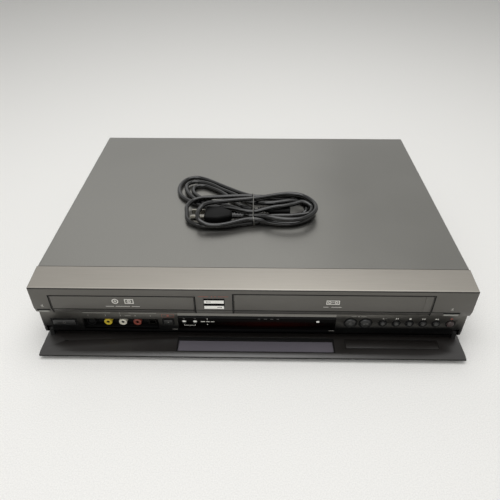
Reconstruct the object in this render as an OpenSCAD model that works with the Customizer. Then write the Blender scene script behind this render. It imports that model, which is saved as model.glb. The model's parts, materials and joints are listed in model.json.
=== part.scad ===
// Disc recorder and tape deck in one casing, with a drop-down front flap.
// Y runs from the front face to the back, Z up from the table.

/* [Casing] */
// Width of the casing
case_w = 430; // [426:1:460]
// Height of the cover's top above the table
case_h = 81.4; // [81:0.2:94]
// Depth from the front face to the rear panel's outer face
case_d = 326; // [322:1:360]
// Thickness of the sheet steel
sheet_t = 1; // [0.8:0.1:1.3]
// Outer radius of the cover's folded top edges
fold_r = 2; // [1.5:0.5:4]
// Gap between the cover and the parts that it closes over
cover_gap = 0.5; // [0.3:0.1:0.8]
// Height of the feet
foot_h = 6; // [5:0.5:7]
// Radius of the feet
foot_r = 13; // [8:1:16]
// Radius of a cover screw's head
screw_head_r = 4; // [3:0.5:5]
// Height of a cover screw's head
screw_head_h = 1.6; // [1:0.2:2.4]

/* [Front panel] */
// Depth of the sloping band on top
bezel_d = 29.8; // [26:0.2:29.8]
// Wall of the moulded front panel
bezel_t = 2.5; // [2:0.1:2.8]
// Rise of the band from its front edge to its back edge
band_rise = 2.6; // [1:0.2:4]
// Height of the upper face
upper_h = 26; // [25.6:0.2:27.2]
// Height of the chamfer below the upper face
chamfer_h = 7.6; // [7:0.2:9]
// Set-back of the chamfer's lower edge
chamfer_d = 2.4; // [1.6:0.2:3]
// Set-back of the lower panel behind the upper face
recess_d = 6.1; // [5.6:0.1:7]
// Height of the lower panel
panel_h = 30.2; // [29:0.2:31]
// Gap round a door in its opening
door_gap = 0.4; // [0.3:0.05:0.6]
// Wall of the tray door and the cassette door
door_t = 2.2; // [1.6:0.1:2.4]

/* [Flap] */
// Thickness of the flap
flap_t = 3; // [2.6:0.1:3.2]
// Distance from the flap's inner face to its hinge axis
flap_drop = 7.2; // [6.6:0.1:7.6]
// Gap between the closed flap's edge and the ledge above it
flap_gap = 0.5; // [0.3:0.1:1]
// How far the flap reaches back past its hinge axis
flap_root = 1.5; // [1:0.1:2]
// Width of the bevelled lip along the flap's free edge
lip_w = 4.8; // [3:0.2:7]
// Drop of the bevelled lip
lip_drop = 1.2; // [0.6:0.1:1.8]
// Radius of the flap's hinge pins
pin_r = 1.5; // [1.2:0.1:1.8]
// Radial clearance of a pin or shaft that turns in a bore
turn_fit = 0.06; // [0.03:0.01:0.1]
// Width of the flap's window
flap_win_w = 158.8; // [140:0.2:162]
// Height of the flap's window
flap_win_h = 14.8; // [12:0.2:16]
// Depth of the seat that holds the window pane
pane_t = 1.4; // [1:0.1:1.8]

/* [Disc side] */
// Centre of the disc tray across the front, on a 430 mm casing
tray_place = -126.3; // [-127:0.1:-126]
// Width of the tray door's opening
tray_door_w = 140.3; // [139.5:0.1:142]
// Drop from the front panel's top edge to the tray door
tray_door_drop = 10; // [9:0.2:11.4]
// Width of the tray
tray_w = 138; // [136:0.5:138.5]
// Length of the tray
tray_l = 182; // [178:1:186]
// Thickness of the tray
tray_t = 5; // [4.5:0.1:5.2]
// Height of the tray's top face above the lower edge of its door's opening
tray_rise = 14.7; // [14.2:0.1:15]
// Radius of the disc well
disc_well_r = 60.5; // [60.2:0.1:61.5]
// Depth of the disc well
disc_well_d = 2; // [1.4:0.1:2.4]
// Travel of the tray
tray_travel = 138; // [120:1:140]
// Gear module of the tray's rack and pinion
gear_m = 1; // [0.9:0.05:1.1]
// Teeth on the tray's pinion
gear_teeth = 18; // [16:1:20]

/* [Tape side] */
// Centre of the cassette door across the front, on a 430 mm casing
tape_place = 78.4; // [77:0.1:79]
// Width of the cassette door's opening
tape_door_w = 191.7; // [191:0.1:192]
// Drop from the front panel's top edge to the cassette door
tape_door_drop = 6.2; // [6:0.1:6.8]
// Width of the cassette
cassette_w = 188; // [187:0.5:188.5]
// Thickness of the cassette
cassette_t = 25; // [24.5:0.1:25.2]
// Distance between the cassette's two reels
reel_pitch = 71; // [66:0.5:76]
// Travel of the cassette basket towards the back
basket_in = 60; // [50:1:62]
// Travel of the cassette basket down onto the reels
basket_down = 22; // [18:0.5:22.5]
// Radius of the head drum
drum_r = 31; // [29:0.5:32]
// Tilt of the head drum
drum_tilt = 6; // [4:0.5:7]

/* [Controls] */
// Travel of a button
button_travel = 0.6; // [0.4:0.05:0.8]
// Radius of the holes for the two large round buttons
large_hole_r = 6; // [5.5:0.1:6.4]
// Radius of the holes for the small round buttons
small_hole_r = 3.6; // [3.2:0.1:4]
// Radius of the hole for the record button
record_hole_r = 4.2; // [3.8:0.1:4.6]
// Radius of the holes for the two channel buttons
channel_hole_r = 2.8; // [2.5:0.1:3]
// Ring of shade between a round button and its hole
button_ring = 0.5; // [0.3:0.1:0.7]
// Radius of a phono socket's collar
phono_r = 4.15; // [3.9:0.05:4.4]

/* [Mains lead] */
// Height of the tied hank of cord
hank_h = 16.5; // [14:0.5:20]
// Thickness of the plug's body
plug_h = 12; // [10:0.5:14]
// Length of the plug's body
plug_l = 31; // [26:1:34]
// Thickness of the appliance connector
connector_h = 9; // [8:0.5:11]

/* [Hidden] */
$fn = 64;

// A hair of overlap where one shape is cut or joined through another.
eps = 0.01;
// Clearance between parts that slide or turn past each other.
run_gap = 0.3;

// Places across the front are stated on a 430 mm casing, and spread with its width.
function place(x) = x * case_w / 430;
tray_x = place(tray_place);
tape_x = place(tape_place);

// Heights of the front panel's edges, from the table.
z_edge = case_h - band_rise;
z_fold = z_edge - upper_h;
z_ledge = z_fold - chamfer_h;
z_panel = z_ledge - panel_h;
z_floor = foot_h + sheet_t;

// The flap is drawn open: its free edge points forward.
hinge_below = 0.5;
hinge_y = flap_t + flap_drop;
hinge_z = z_panel - hinge_below;
flap_reach = z_ledge - flap_gap - hinge_z;
flap_tip_y = hinge_y - flap_reach;
flap_in_z = hinge_z - flap_drop;
skirt_gap = 0.8;
skirt_y = hinge_y + flap_root + skirt_gap;
ear_w = 4;
ear_r = 3.2;
ear_gap = 0.5;
cheek_x = case_w / 2 - bezel_t;
ear_out_x = cheek_x - ear_gap - 1;
ear_in_x = ear_out_x - ear_w;
lug_r = 3.7;

// The origin is the middle of the depth, flap and rear sockets included.
socket_out = 9;
front_y = -(case_d + socket_out + flap_tip_y) / 2;

// Inner faces that other parts are placed from.
panel_in_y = recess_d + bezel_t;
board_y = 20;
board_t = 1.6;
switch_h = 2.2;
switch_y = board_y - switch_h;
board_x = cheek_x - 2;
board_top_z = z_ledge - 1.2;
board_low_z = z_panel + bezel_t + 0.5;

// Tray door and tray.
tray_low_z = z_ledge + 1.1;
tray_high_z = z_edge - tray_door_drop;
tray_top_z = tray_low_z + tray_rise;
tray_under_z = tray_top_z - tray_t;
disc_y = door_t + 6 + disc_well_r;
slot_w = 40;
rail_reach = 5;
drive_w = tray_w + 2 * 5;
drive_wall = 2;
drive_y = 31;
drive_l = 183;
drive_low_z = tray_under_z - 26;
rail_z = tray_under_z - run_gap;
rail_h = 2.5;
motor_base_z = drive_low_z + 10;
motor_base_h = 3.7;

// Rack and pinion: the rack hangs under the tray's left edge.
gear_r = gear_m * gear_teeth / 2;
tooth_out = 0.7 * gear_m;
tooth_in = 0.95 * gear_m;
tooth_play = 0.3;
rack_h = 5;
rack_y = 28;
rack_teeth = floor((tray_l + door_t - rack_y - 4) / (PI * gear_m));
rack_x = tray_x - 45;
gear_x = rack_x - gear_r;
gear_y = rack_y + 3 * PI * gear_m;
gear_axle_r = 2;

// Pickup sled and its two guide rods.
sled_l = 24;
sled_w = 44;
sled_rod_x = 17;
sled_rod_r = 1.5;
sled_travel = 34;
lens_y = disc_y + 24;
sled_rod_z = motor_base_z + 6;

// Clamp above the disc.
bridge_z = tray_top_z + 5;
hub_top_z = tray_top_z + 2;

// Cassette door, hung from two arms behind the upper wall.
tape_low_z = z_ledge + 0.9;
tape_high_z = z_edge - tape_door_drop;
arm_r = 2;
thin_wall = 1;
door_pivot_y = thin_wall + run_gap + arm_r;
door_pivot_z = z_edge - thin_wall - 0.2 - arm_r;
door_pin_r = 1.2;
door_arm_w = 3;
door_half = tape_door_w / 2 - door_gap;

// Cassette basket, its slider and the deck's side brackets, from the inside out.
basket_t = 1.5;
basket_half = cassette_w / 2 + 0.8 + basket_t;
slider_half = basket_half + run_gap + basket_t;
bracket_half = slider_half + run_gap + basket_t;
basket_y = 37.5;
basket_l = 49;
basket_low_z = tape_low_z - 0.3;
basket_lip = 1.2;
basket_top_z = basket_low_z + basket_lip + cassette_t + 0.3 + basket_lip;
slider_low_z = basket_low_z - 4;
slider_top_z = basket_top_z + 0.8;
deck_low_z = z_floor + 11;
deck_t = 1.5;
deck_z = deck_low_z + deck_t;
deck_y = 37;
deck_l = 196;
reel_y = 92;
reel_r = 20;
reel_post_r = 2;
drum_x = tape_x - 6;
drum_y = basket_y + basket_l + basket_in + drum_r + 10;
capstan_x = tape_x + 50;
capstan_y = basket_y + basket_l + basket_in + 6;
capstan_r = 1.5;
flywheel_r = 19;
pinch_len = 21;
pinch_pivot_x = capstan_x + 22;
pinch_pivot_y = capstan_y + 17;
pinch_rest = 183.6;
pinch_x = pinch_pivot_x + pinch_len * cos(pinch_rest);
pinch_y = pinch_pivot_y + pinch_len * sin(pinch_rest);
pinch_r = 6;

// Rear boards and sockets.
rear_board_y = deck_y + deck_l + 7;
rear_board_l = case_d - rear_board_y - 8;
power_board_x = [place(-205), place(-75)];
main_board_x = [place(-65), place(205)];
rear_board_z = z_floor + 11;
rear_row_z = [rear_board_z + 10, rear_board_z + 24];
rear_block_x = [for (x = [10, 32, 54, 82, 104, 132]) place(x)];
antenna_x = [place(168), place(188)];
inlet_x = place(-178);
inlet_z = rear_board_z + 12;

// Display and front sockets: x across the front, z from the table.
display_x = [place(-75), place(84.8)];
channel_strip_w = 25;
window_margin = 4;
display_z = [z_ledge - 24.3, z_ledge - 9];
display_lip_z = z_ledge - 3.8;
window_y = recess_d - 1.7;
bay_x = [place(-172.9), place(-95.5)];
bay_z = [z_panel + bezel_t, z_ledge - 13];
bay_back_y = panel_in_y + 6;
bay_t = 1.2;
jack_z = z_ledge - 21.2;
jack_front_y = panel_in_y + 0.6;
svideo_x = place(-166.2);
video_x = place(-148.7);
audio_left_x = place(-133.4);
audio_right_x = place(-118.3);
dv_x = place(-102.8);

// Buttons: [x, z] of each centre.
row_z = z_ledge - 15.4;
power_at = [place(-192.4), z_ledge - 18.1];
power_size = [24, 7.2];
disc_record_at = [place(-85.2), z_ledge - 16.5];
disc_record_size = [9.6, 6.8];
channel_x = [place(-68.7), place(-57.7)];
channel_z = z_ledge - 15.1;
large_x = [place(100), place(115.2)];
small_x = [for (x = [132.6, 146.2, 159.5, 173.05, 186.25]) place(x)];
record_x = place(200.8);
dub_x = place(-36.7);
dub_z = [z_edge - 15.35, z_edge - 22.6];
dub_gap = tape_x - tape_door_w / 2 - tray_x - tray_door_w / 2;
dub_size = [dub_gap * 0.51, 4.4];
dub_recess = [dub_size[0] + 0.9, 13.9];
dub_recess_z = z_edge - 18.5;
tray_room = case_w / 2 + tray_x - tray_door_w / 2;
tray_button_x = tray_room * 0.4636 - case_w / 2;
tray_button_w = tray_room * 0.593;
eject_button_x = place(195.9);
eject_button_w = 15;
edge_slot_h = 3.1;
edge_slot_z = z_ledge + 0.6;
edge_bar_h = 2;

// Tied hank of cord on the cover: [x, y, radius] of each lobe's two ends.
hank_z = case_h + run_gap;
hank_rear = [[-64.5, 177, 29], [0, 143, 17]];
hank_front = [[-47, 120, 32.5], [0, 127, 30]];
hank_right = [[42, 126.5, 31.5], [0, 129, 30]];
plug_at = [-24, 110.5];
plug_turn = 178;
plug_z = hank_z + 0.7;
plug_wide = 24;
plug_narrow = 13;
relief_l = 20;
cord_r = 2.5;
blade_l = 17;
blade_w = 6.35;
blade_t = 1.5;
blade_pitch = 12.7;
connector_at = [18, 127];
connector_l = 24;
connector_w = 15;
tie_r = 0.7;
tie_half = 35.7;
tie_y = 130;

// ---- Shapes that repeat ----

// Everything is drawn from the front face and moved to the origin's frame.
module in_frame() { translate([0, front_y, 0]) children(); }

// A profile of [y, z] points, run across the width about x.
module across(w, x = 0) { translate([x - w / 2, 0, 0]) rotate([90, 0, 90]) linear_extrude(w) children(); }

module block(x, y, z) { translate([x[0], y[0], z[0]]) cube([x[1] - x[0], y[1] - y[0], z[1] - z[0]]); }

module rod_x(x, y, z, r) { translate([x[0], y, z]) rotate([0, 90, 0]) cylinder(r = r, h = x[1] - x[0]); }

module rod_y(x, y, z, r) { translate([x, y[0], z]) rotate([-90, 0, 0]) cylinder(r = r, h = y[1] - y[0]); }

module rod_z(x, y, z, r) { translate([x, y, z[0]]) cylinder(r = r, h = z[1] - z[0]); }

function about(x, w) = [x - w / 2, x + w / 2];

// A lobe: one closed outline round two circles, each [x, y, radius].
module lobe(ends) {
  hull() for (e = ends) translate([e[0], e[1]]) circle(r = e[2], $fn = 32);
}

// ---- Casing ----

// The U section of the cover, taken in by t from its outer faces.
module cover_section(t) {
  r = fold_r - t;
  half = case_w / 2 - t;
  top = case_h - t;
  translate([-half, 0]) square([2 * half, top - r]);
  translate([-half + r, 0]) square([2 * (half - r), top]);
  for (s = [-1, 1]) translate([s * (half - r), top - r]) circle(r = r);
}

cover_y = [bezel_d + cover_gap, case_d + sheet_t];
cover_low_z = foot_h + 2;
vent_count = 14;
vent_pitch = 7;
vent_back = 32;
vent_y = case_d - vent_back - vent_count * vent_pitch;

module top_cover() {
  color("dimgray") in_frame() difference() {
    translate([0, cover_y[1], 0]) rotate([90, 0, 0])
      linear_extrude(cover_y[1] - cover_y[0]) difference() {
        cover_section(0);
        translate([-case_w, -1]) square([2 * case_w, cover_low_z + 1]);
      }
    translate([0, case_d, 0]) rotate([90, 0, 0])
      linear_extrude(case_d) cover_section(sheet_t);
    block([-case_w, case_w], [case_d - eps, case_d + 2], [0, case_h - rear_lip_h]);
    for (i = [0 : vent_count - 1])
      block([-case_w, case_w], about(vent_y + i * vent_pitch, 2.5), [case_h - 40, case_h - 16]);
    for (x = rear_screw_x) rod_y(x, [case_d - 1, case_d + 3], rear_screw_z, screw_r + 0.3);
    for (y = side_screw_y) rod_x([-case_w, case_w], y, side_screw_z, screw_r + 0.3);
  }
}

rear_lip_h = 13;
rear_screw_x = [place(-190), 0, place(190)];
rear_screw_z = case_h - 8;
side_screw_y = [62, case_d - 56];
side_screw_z = z_floor + 12;
screw_r = 1.5;

module cover_screws() {
  color("black") in_frame() {
    for (x = rear_screw_x) {
      rod_y(x, [case_d + sheet_t, case_d + sheet_t + screw_head_h], rear_screw_z, screw_head_r);
      rod_y(x, [case_d - 6, case_d + sheet_t + eps], rear_screw_z, screw_r);
    }
    for (s = [0, 1], y = side_screw_y) mirror([s, 0, 0]) {
      rod_x([case_w / 2, case_w / 2 + screw_head_h], y, side_screw_z, screw_head_r);
      rod_x([case_w / 2 - 6, case_w / 2 + eps], y, side_screw_z, screw_r);
    }
  }
}

pan_half = case_w / 2 - sheet_t - cover_gap;
pan_y = [bezel_d + cover_gap, case_d - sheet_t];
pan_side_h = 24;
post_r = 3.5;
drive_post = [drive_w / 2 - 10, 60, 190];
deck_post = [bracket_half - 6, 56, 222];
board_post_y = [rear_board_y + 6, rear_board_y + rear_board_l - 6];

module bottom_chassis() {
  color("silver") in_frame() difference() {
    union() {
      block([-pan_half, pan_half], pan_y, [foot_h, z_floor]);
      for (s = [0, 1]) mirror([s, 0, 0])
        block([pan_half - sheet_t, pan_half], pan_y, [foot_h, z_floor + pan_side_h]);
      for (s = [-1, 1], y = [drive_post[1], drive_post[2]])
        rod_z(tray_x + s * drive_post[0], y, [z_floor - eps, drive_low_z], post_r);
      for (s = [-1, 1], y = [deck_post[1], deck_post[2]])
        rod_z(tape_x + s * deck_post[0], y, [z_floor - eps, deck_low_z], post_r);
      for (x = [power_board_x[0] + 6, power_board_x[1] - 6, main_board_x[0] + 6, main_board_x[1] - 6],
           y = board_post_y)
        rod_z(x, y, [z_floor - eps, rear_board_z], post_r);
    }
    for (s = [0, 1], y = side_screw_y) mirror([s, 0, 0])
      rod_x([pan_half - 3, pan_half + 1], y, side_screw_z, screw_r + 0.1);
  }
}

foot_at = [case_w / 2 - 35, 52, case_d - 40];

module feet() {
  color("black") in_frame()
    for (s = [-1, 1], y = [foot_at[1], foot_at[2]]) {
      rod_z(s * foot_at[0], y, [1.5, foot_h], foot_r);
      rod_z(s * foot_at[0], y, [0, 1.5 + eps], foot_r - 2);
    }
}

// Phono collars, antenna sockets and the mains inlet pass through holes of their own size.
module rear_panel() {
  color("gray") in_frame() difference() {
    block([-pan_half, pan_half], [case_d - sheet_t, case_d], [z_floor, case_h - sheet_t - cover_gap]);
    for (x = rear_block_x, z = rear_row_z) rod_y(x, [case_d - 3, case_d + 1], z, phono_r + run_gap);
    for (x = antenna_x) rod_y(x, [case_d - 3, case_d + 1], rear_row_z[0], antenna_r + run_gap);
    block(about(inlet_x, inlet_w + 0.4), [case_d - 3, case_d + 1], about(inlet_z, inlet_h + 0.4));
    for (x = rear_screw_x) rod_y(x, [case_d - 3, case_d + 1], rear_screw_z, screw_r + 0.1);
    for (i = [0 : vent_count - 1])
      block(about(place(-130) + vent_pitch * i, 2.5), [case_d - 3, case_d + 1], [case_h - 36, case_h - 16]);
  }
}

// ---- Front panel ----

function door_face(low, high, t) = let (foot_y = chamfer_d * (z_fold - low) / chamfer_h) [
  [0, high], [0, z_fold], [foot_y, low], [foot_y + t, low], [t, z_fold], [t, high]
];

module round_hole(x, z, r) { rod_y(x, [recess_d - 3, panel_in_y + 1], z, r); }

module panel_hole(at, size) { block(about(at[0], size[0]), [recess_d - 1, panel_in_y + 1], about(at[1], size[1])); }

module edge_slot(x, w) {
  block(about(x, w), [-1, panel_in_y + 1], [edge_slot_z, edge_slot_z + edge_slot_h]);
}

board_boss_x = [for (x = [-178, -90, 0, 92, 178]) place(x)];
board_boss_z = z_ledge - 4.5;
board_boss_r = 2.2;

module front_bezel() {
  color("darkslategray") in_frame() {
    difference() {
      union() {
        difference() {
          across(case_w) polygon([
            [bezel_d, case_h], [0, z_edge], [0, z_fold], [chamfer_d, z_ledge], [recess_d, z_ledge],
            [recess_d, z_panel], [skirt_y, z_panel], [skirt_y, foot_h], [bezel_d, foot_h]
          ]);
          across(case_w - 2 * bezel_t) polygon([
            [bezel_d + 1, case_h - bezel_t], [bezel_t, z_edge - bezel_t], [bezel_t, z_fold],
            [chamfer_d + bezel_t, z_ledge + bezel_t], [panel_in_y, z_ledge + bezel_t],
            [panel_in_y, z_panel + bezel_t], [skirt_y + bezel_t, z_panel + bezel_t],
            [skirt_y + bezel_t, foot_h + bezel_t], [bezel_d + 1, foot_h + bezel_t]
          ]);
        }
        for (s = [0, 1]) mirror([s, 0, 0]) rod_x([cheek_x, case_w / 2], hinge_y, hinge_z, lug_r);
        for (x = board_boss_x) rod_y(x, [panel_in_y - eps, board_y], board_boss_z, board_boss_r);
        across(display_x[1] - display_x[0], (display_x[0] + display_x[1]) / 2) polygon([
          [recess_d + eps, display_lip_z], [window_y, display_z[1] + 0.7],
          [window_y, display_z[1] + 0.1], [recess_d + eps, display_z[1] + 0.1]
        ]);
      }
      block(about(tray_x, tray_door_w), [-1, panel_in_y + 1], [tray_low_z, tray_high_z]);
      block(about(tape_x, tape_door_w), [-1, panel_in_y + 1], [tape_low_z, tape_high_z]);
      for (s = [-1, 1]) translate([tape_x, 0, 0]) scale([s, 1, 1]) arm_pocket();
      block(about(dub_x, dub_recess[0]), [-1, bezel_t + 1], about(dub_recess_z, dub_recess[1]));
      edge_slot(tray_button_x, tray_button_w);
      edge_slot(eject_button_x, eject_button_w);
      panel_hole(power_at, power_size);
      panel_hole(disc_record_at, disc_record_size);
      for (x = large_x) round_hole(x, row_z, large_hole_r);
      for (x = small_x) round_hole(x, row_z, small_hole_r);
      for (x = channel_x) round_hole(x, channel_z, channel_hole_r);
      round_hole(record_x, row_z, record_hole_r);
      block([display_x[0] + channel_strip_w, display_x[1] - window_margin], [recess_d - 1, panel_in_y + 1],
            [display_z[0] + 1, display_z[1] - 1]);
      block(bay_x, [recess_d - 1, panel_in_y + 1], [bay_z[0], bay_z[1]]);
      for (s = [0, 1]) mirror([s, 0, 0]) {
        block([ear_in_x - ear_gap, cheek_x], [recess_d - 1, hinge_y + ear_r + 0.8],
              [hinge_z - ear_r - 0.8, hinge_z + flap_drop]);
        rod_x([cheek_x - 1, case_w / 2 - 0.8], hinge_y, hinge_z, pin_r + turn_fit);
      }
    }
    for (s = [-1, 1]) translate([tape_x, 0, 0]) scale([s, 1, 1]) door_lug();
  }
}

lug_x = door_half - 1 + run_gap;

// The walls are thinned behind and over each door arm, so that it clears them as it turns.
module arm_pocket() {
  block([lug_x - door_arm_w - 2 * run_gap, lug_x], [thin_wall, door_pivot_y + 2 * arm_r],
        [tape_high_z - eps, z_edge - thin_wall]);
}

// A lug on the back of the upper wall, with the pin that one door arm turns on.
module door_lug() {
  block([lug_x, lug_x + 3], [bezel_t - eps, door_pivot_y + arm_r], about(door_pivot_z, 2 * arm_r));
  rod_x([lug_x - run_gap - door_arm_w, lug_x + eps], door_pivot_y, door_pivot_z, door_pin_r);
}

// ---- Flap ----

flap_win_x = place(3.9);
flap_win_y = hinge_y - 16.4;

module flap_window_outline(grow) {
  block(about(flap_win_x, flap_win_w + 2 * grow), about(flap_win_y, flap_win_h + 2 * grow), [0, flap_in_z + 1]);
}

panel_line_x = [place(96.2), place(191.5)];
panel_line_y = [-8, 4];
line_w = 0.6;
line_d = 0.4;

module front_flap() {
  color("dimgray") in_frame() {
    difference() {
      across(case_w) polygon([
        [hinge_y + flap_root, flap_in_z], [flap_tip_y + lip_w, flap_in_z],
        [flap_tip_y, flap_in_z - lip_drop], [flap_tip_y, flap_in_z - flap_t],
        [hinge_y + flap_root, flap_in_z - flap_t]
      ]);
      flap_window_outline(0);
      intersection() {
        flap_window_outline(pane_t);
        block([-case_w, case_w], [-case_d, case_d], [0, flap_in_z - flap_t + pane_t]);
      }
      difference() {
        block(panel_line_x, panel_line_y, [flap_in_z - line_d, flap_in_z + 1]);
        block([panel_line_x[0] + line_w, panel_line_x[1] - line_w],
              [panel_line_y[0] + line_w, panel_line_y[1] - line_w], [0, flap_in_z + 2]);
      }
      block(about(power_at[0], 4), about(-1.4, 1.4), [flap_in_z - line_d, flap_in_z + 1]);
      block([flap_win_x - flap_win_w / 2, flap_win_x + flap_win_w / 2], about(5.4, line_w),
            [flap_in_z - line_d, flap_in_z + 1]);
    }
    for (s = [0, 1]) mirror([s, 0, 0]) {
      across(ear_w, ear_in_x + ear_w / 2) {
        translate([hinge_y, hinge_z]) circle(r = ear_r);
        polygon([
          [hinge_y - 4.7, flap_in_z - 0.5], [hinge_y + flap_root, flap_in_z - 0.5],
          [hinge_y + ear_r - 0.1, hinge_z], [hinge_y - ear_r + 0.1, hinge_z]
        ]);
      }
      rod_x([ear_out_x - eps, case_w / 2 - 1.2], hinge_y, hinge_z, pin_r);
    }
  }
}

module flap_window() {
  color("slategray") in_frame() intersection() {
    flap_window_outline(pane_t - 0.1);
    block([-case_w, case_w], [-case_d, case_d], [flap_in_z - flap_t + 0.1, flap_in_z - flap_t + pane_t]);
  }
}

// ---- Display, front board and front sockets ----

module display_window() {
  color("black") in_frame() difference() {
    block(display_x, [window_y, recess_d], display_z);
    for (x = channel_x) rod_y(x, [window_y - 1, recess_d + 1], channel_z, channel_hole_r);
  }
}

module display_tube() {
  color("darkslategray") in_frame()
    block([display_x[0] + channel_strip_w + 2, display_x[1] - window_margin - 3], [panel_in_y + 2.4, board_y],
          [display_z[0] + 2, display_z[1] - 2]);
}

module switch(at) { block(about(at[0], 6), [switch_y, board_y + eps], about(at[1], 6)); }

edge_board_z = edge_slot_z + edge_bar_h / 2;
board_tab_w = 18;
board_tab_h = 4;

module front_board() {
  color("darkgreen") in_frame() difference() {
    union() {
      block([-board_x, board_x], [board_y, board_y + board_t], [board_low_z, board_top_z]);
      block([-board_x, -board_x + board_tab_w], [board_y, board_y + board_t], [board_low_z, edge_board_z + board_tab_h]);
      block([board_x - board_tab_w, board_x], [board_y, board_y + board_t], [board_low_z, edge_board_z + board_tab_h]);
      block(about(dub_x, board_tab_w), [board_y, board_y + board_t], [board_low_z, dub_z[0] + board_tab_h]);
      for (at = [power_at, disc_record_at]) switch(at);
      for (x = channel_x) switch([x, channel_z]);
      for (x = concat(large_x, small_x, [record_x])) switch([x, row_z]);
      for (z = dub_z) switch([dub_x, z]);
      for (x = [tray_button_x, eject_button_x]) switch([x, edge_board_z]);
    }
    rod_y(-board_x + 8, [board_y - 1, board_y + board_t + 1], board_low_z + 2.5, screw_r);
  }
}

module jack_bay() {
  color("black") in_frame() difference() {
    block([bay_x[0] - bay_t, bay_x[1] + bay_t], [panel_in_y, bay_back_y + bay_t],
          [bay_z[0] + 0.1, bay_z[1] + bay_t]);
    block(bay_x, [panel_in_y - 1, bay_back_y], [bay_z[0] + 0.9, bay_z[1]]);
    for (x = [video_x, audio_left_x, audio_right_x])
      rod_y(x, [bay_back_y - 1, bay_back_y + 3], jack_z, phono_r + 0.2);
    rod_y(svideo_x, [bay_back_y - 1, bay_back_y + 3], jack_z, svideo_r + 0.2);
    block(about(dv_x, dv_size[0] + 0.4), [bay_back_y - 1, bay_back_y + 3], about(jack_z, dv_size[1] + 0.4));
  }
}

phono_hole_r = 1.65;
svideo_r = 4.9;
dv_size = [8, 6];

// A phono socket: a collar with the hole for the plug's centre pin.
module phono_jack(x, tint) {
  color(tint) in_frame() difference() {
    rod_y(x, [jack_front_y, board_y], jack_z, phono_r);
    rod_y(x, [jack_front_y - 1, board_y - 2], jack_z, phono_hole_r);
  }
}

module svideo_jack() {
  color("black") in_frame() {
    difference() {
      rod_y(svideo_x, [jack_front_y + 1, board_y], jack_z, svideo_r);
      rod_y(svideo_x, [jack_front_y - 1, board_y - 3], jack_z, svideo_r - 0.8);
    }
    rod_y(svideo_x, [jack_front_y + 2, board_y - 3 + eps], jack_z, 3.2);
  }
}

module video_jack() { phono_jack(video_x, "gold"); }
module audio_left_jack() { phono_jack(audio_left_x, "ivory"); }
module audio_right_jack() { phono_jack(audio_right_x, "firebrick"); }

module dv_jack() {
  color("silver") in_frame() difference() {
    block(about(dv_x, dv_size[0]), [jack_front_y + 1, board_y], about(jack_z, dv_size[1]));
    block(about(dv_x, dv_size[0] - 2), [jack_front_y, board_y - 3], about(jack_z, dv_size[1] - 2));
  }
}

// ---- Buttons: a cap in its hole, a flange behind the panel and a stem to the switch ----

cap_y = recess_d - 1.4;
flange_y = panel_in_y + run_gap;
flange_t = 1;
stem_r = 1.4;
stem_end_y = switch_y - button_travel - 0.1;

module stem(x, z, from_y) { rod_y(x, [from_y, stem_end_y], z, stem_r); }

module round_button(x, z, hole_r, tint, proud = 0) {
  r = hole_r - button_ring;
  front = cap_y - proud;
  color(tint) in_frame() {
    translate([x, front, z]) rotate([-90, 0, 0]) cylinder(r1 = r - 0.8, r2 = r, h = 0.8);
    rod_y(x, [front + 0.8 - eps, flange_y + eps], z, r);
    rod_y(x, [flange_y, flange_y + flange_t], z, hole_r + 0.6);
    stem(x, z, flange_y + flange_t - eps);
  }
}

module bar_button(at, size, hole, front, back, tint) {
  color(tint) in_frame() {
    block(about(at[0], size[0]), [front, back + eps], about(at[1], size[1]));
    block(about(at[0], hole + 1.4), [back, back + flange_t], about(at[1], size[1]));
    stem(at[0], at[1], back + flange_t - eps);
  }
}

module power_button() {
  bar_button(power_at, power_size - [0.8, 0.8], power_size[0], cap_y + 0.6, flange_y, "dimgray");
}
module disc_record_button() {
  bar_button(disc_record_at, disc_record_size - [0.8, 0.8], disc_record_size[0], cap_y + 0.6, flange_y, "dimgray");
}
module dub_to_disc_button() {
  bar_button([dub_x, dub_z[0]], dub_size, dub_recess[0], -0.5, bezel_t + run_gap, "white");
}
module dub_to_tape_button() {
  bar_button([dub_x, dub_z[1]], dub_size, dub_recess[0], -0.5, bezel_t + run_gap, "white");
}
module edge_button(x, w) {
  bar_button([x, edge_slot_z + run_gap + edge_bar_h / 2], [w - 0.6, edge_bar_h], w - 3, chamfer_d / 2,
             flange_y, "silver");
}
module tray_button() { edge_button(tray_button_x, tray_button_w); }
module eject_button() { edge_button(eject_button_x, eject_button_w); }
module channel_down_button() { round_button(channel_x[0], channel_z, channel_hole_r, "white", 1.2); }
module channel_up_button() { round_button(channel_x[1], channel_z, channel_hole_r, "white", 1.2); }
module disc_select_button() { round_button(large_x[0], row_z, large_hole_r, "dimgray"); }
module tape_select_button() { round_button(large_x[1], row_z, large_hole_r, "dimgray"); }
module pause_button() { round_button(small_x[0], row_z, small_hole_r, "dimgray"); }
module play_button() { round_button(small_x[1], row_z, small_hole_r, "dimgray"); }
module stop_button() { round_button(small_x[2], row_z, small_hole_r, "dimgray"); }
module rewind_button() { round_button(small_x[3], row_z, small_hole_r, "dimgray"); }
module forward_button() { round_button(small_x[4], row_z, small_hole_r, "dimgray"); }
module tape_record_button() { round_button(record_x, row_z, record_hole_r, "rosybrown"); }

// ---- Disc drive ----

module tray_door() {
  color("darkslategray") in_frame() across(tray_door_w - 2 * door_gap, tray_x)
    polygon(door_face(tray_low_z + door_gap, tray_high_z - door_gap, door_t));
}

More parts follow.
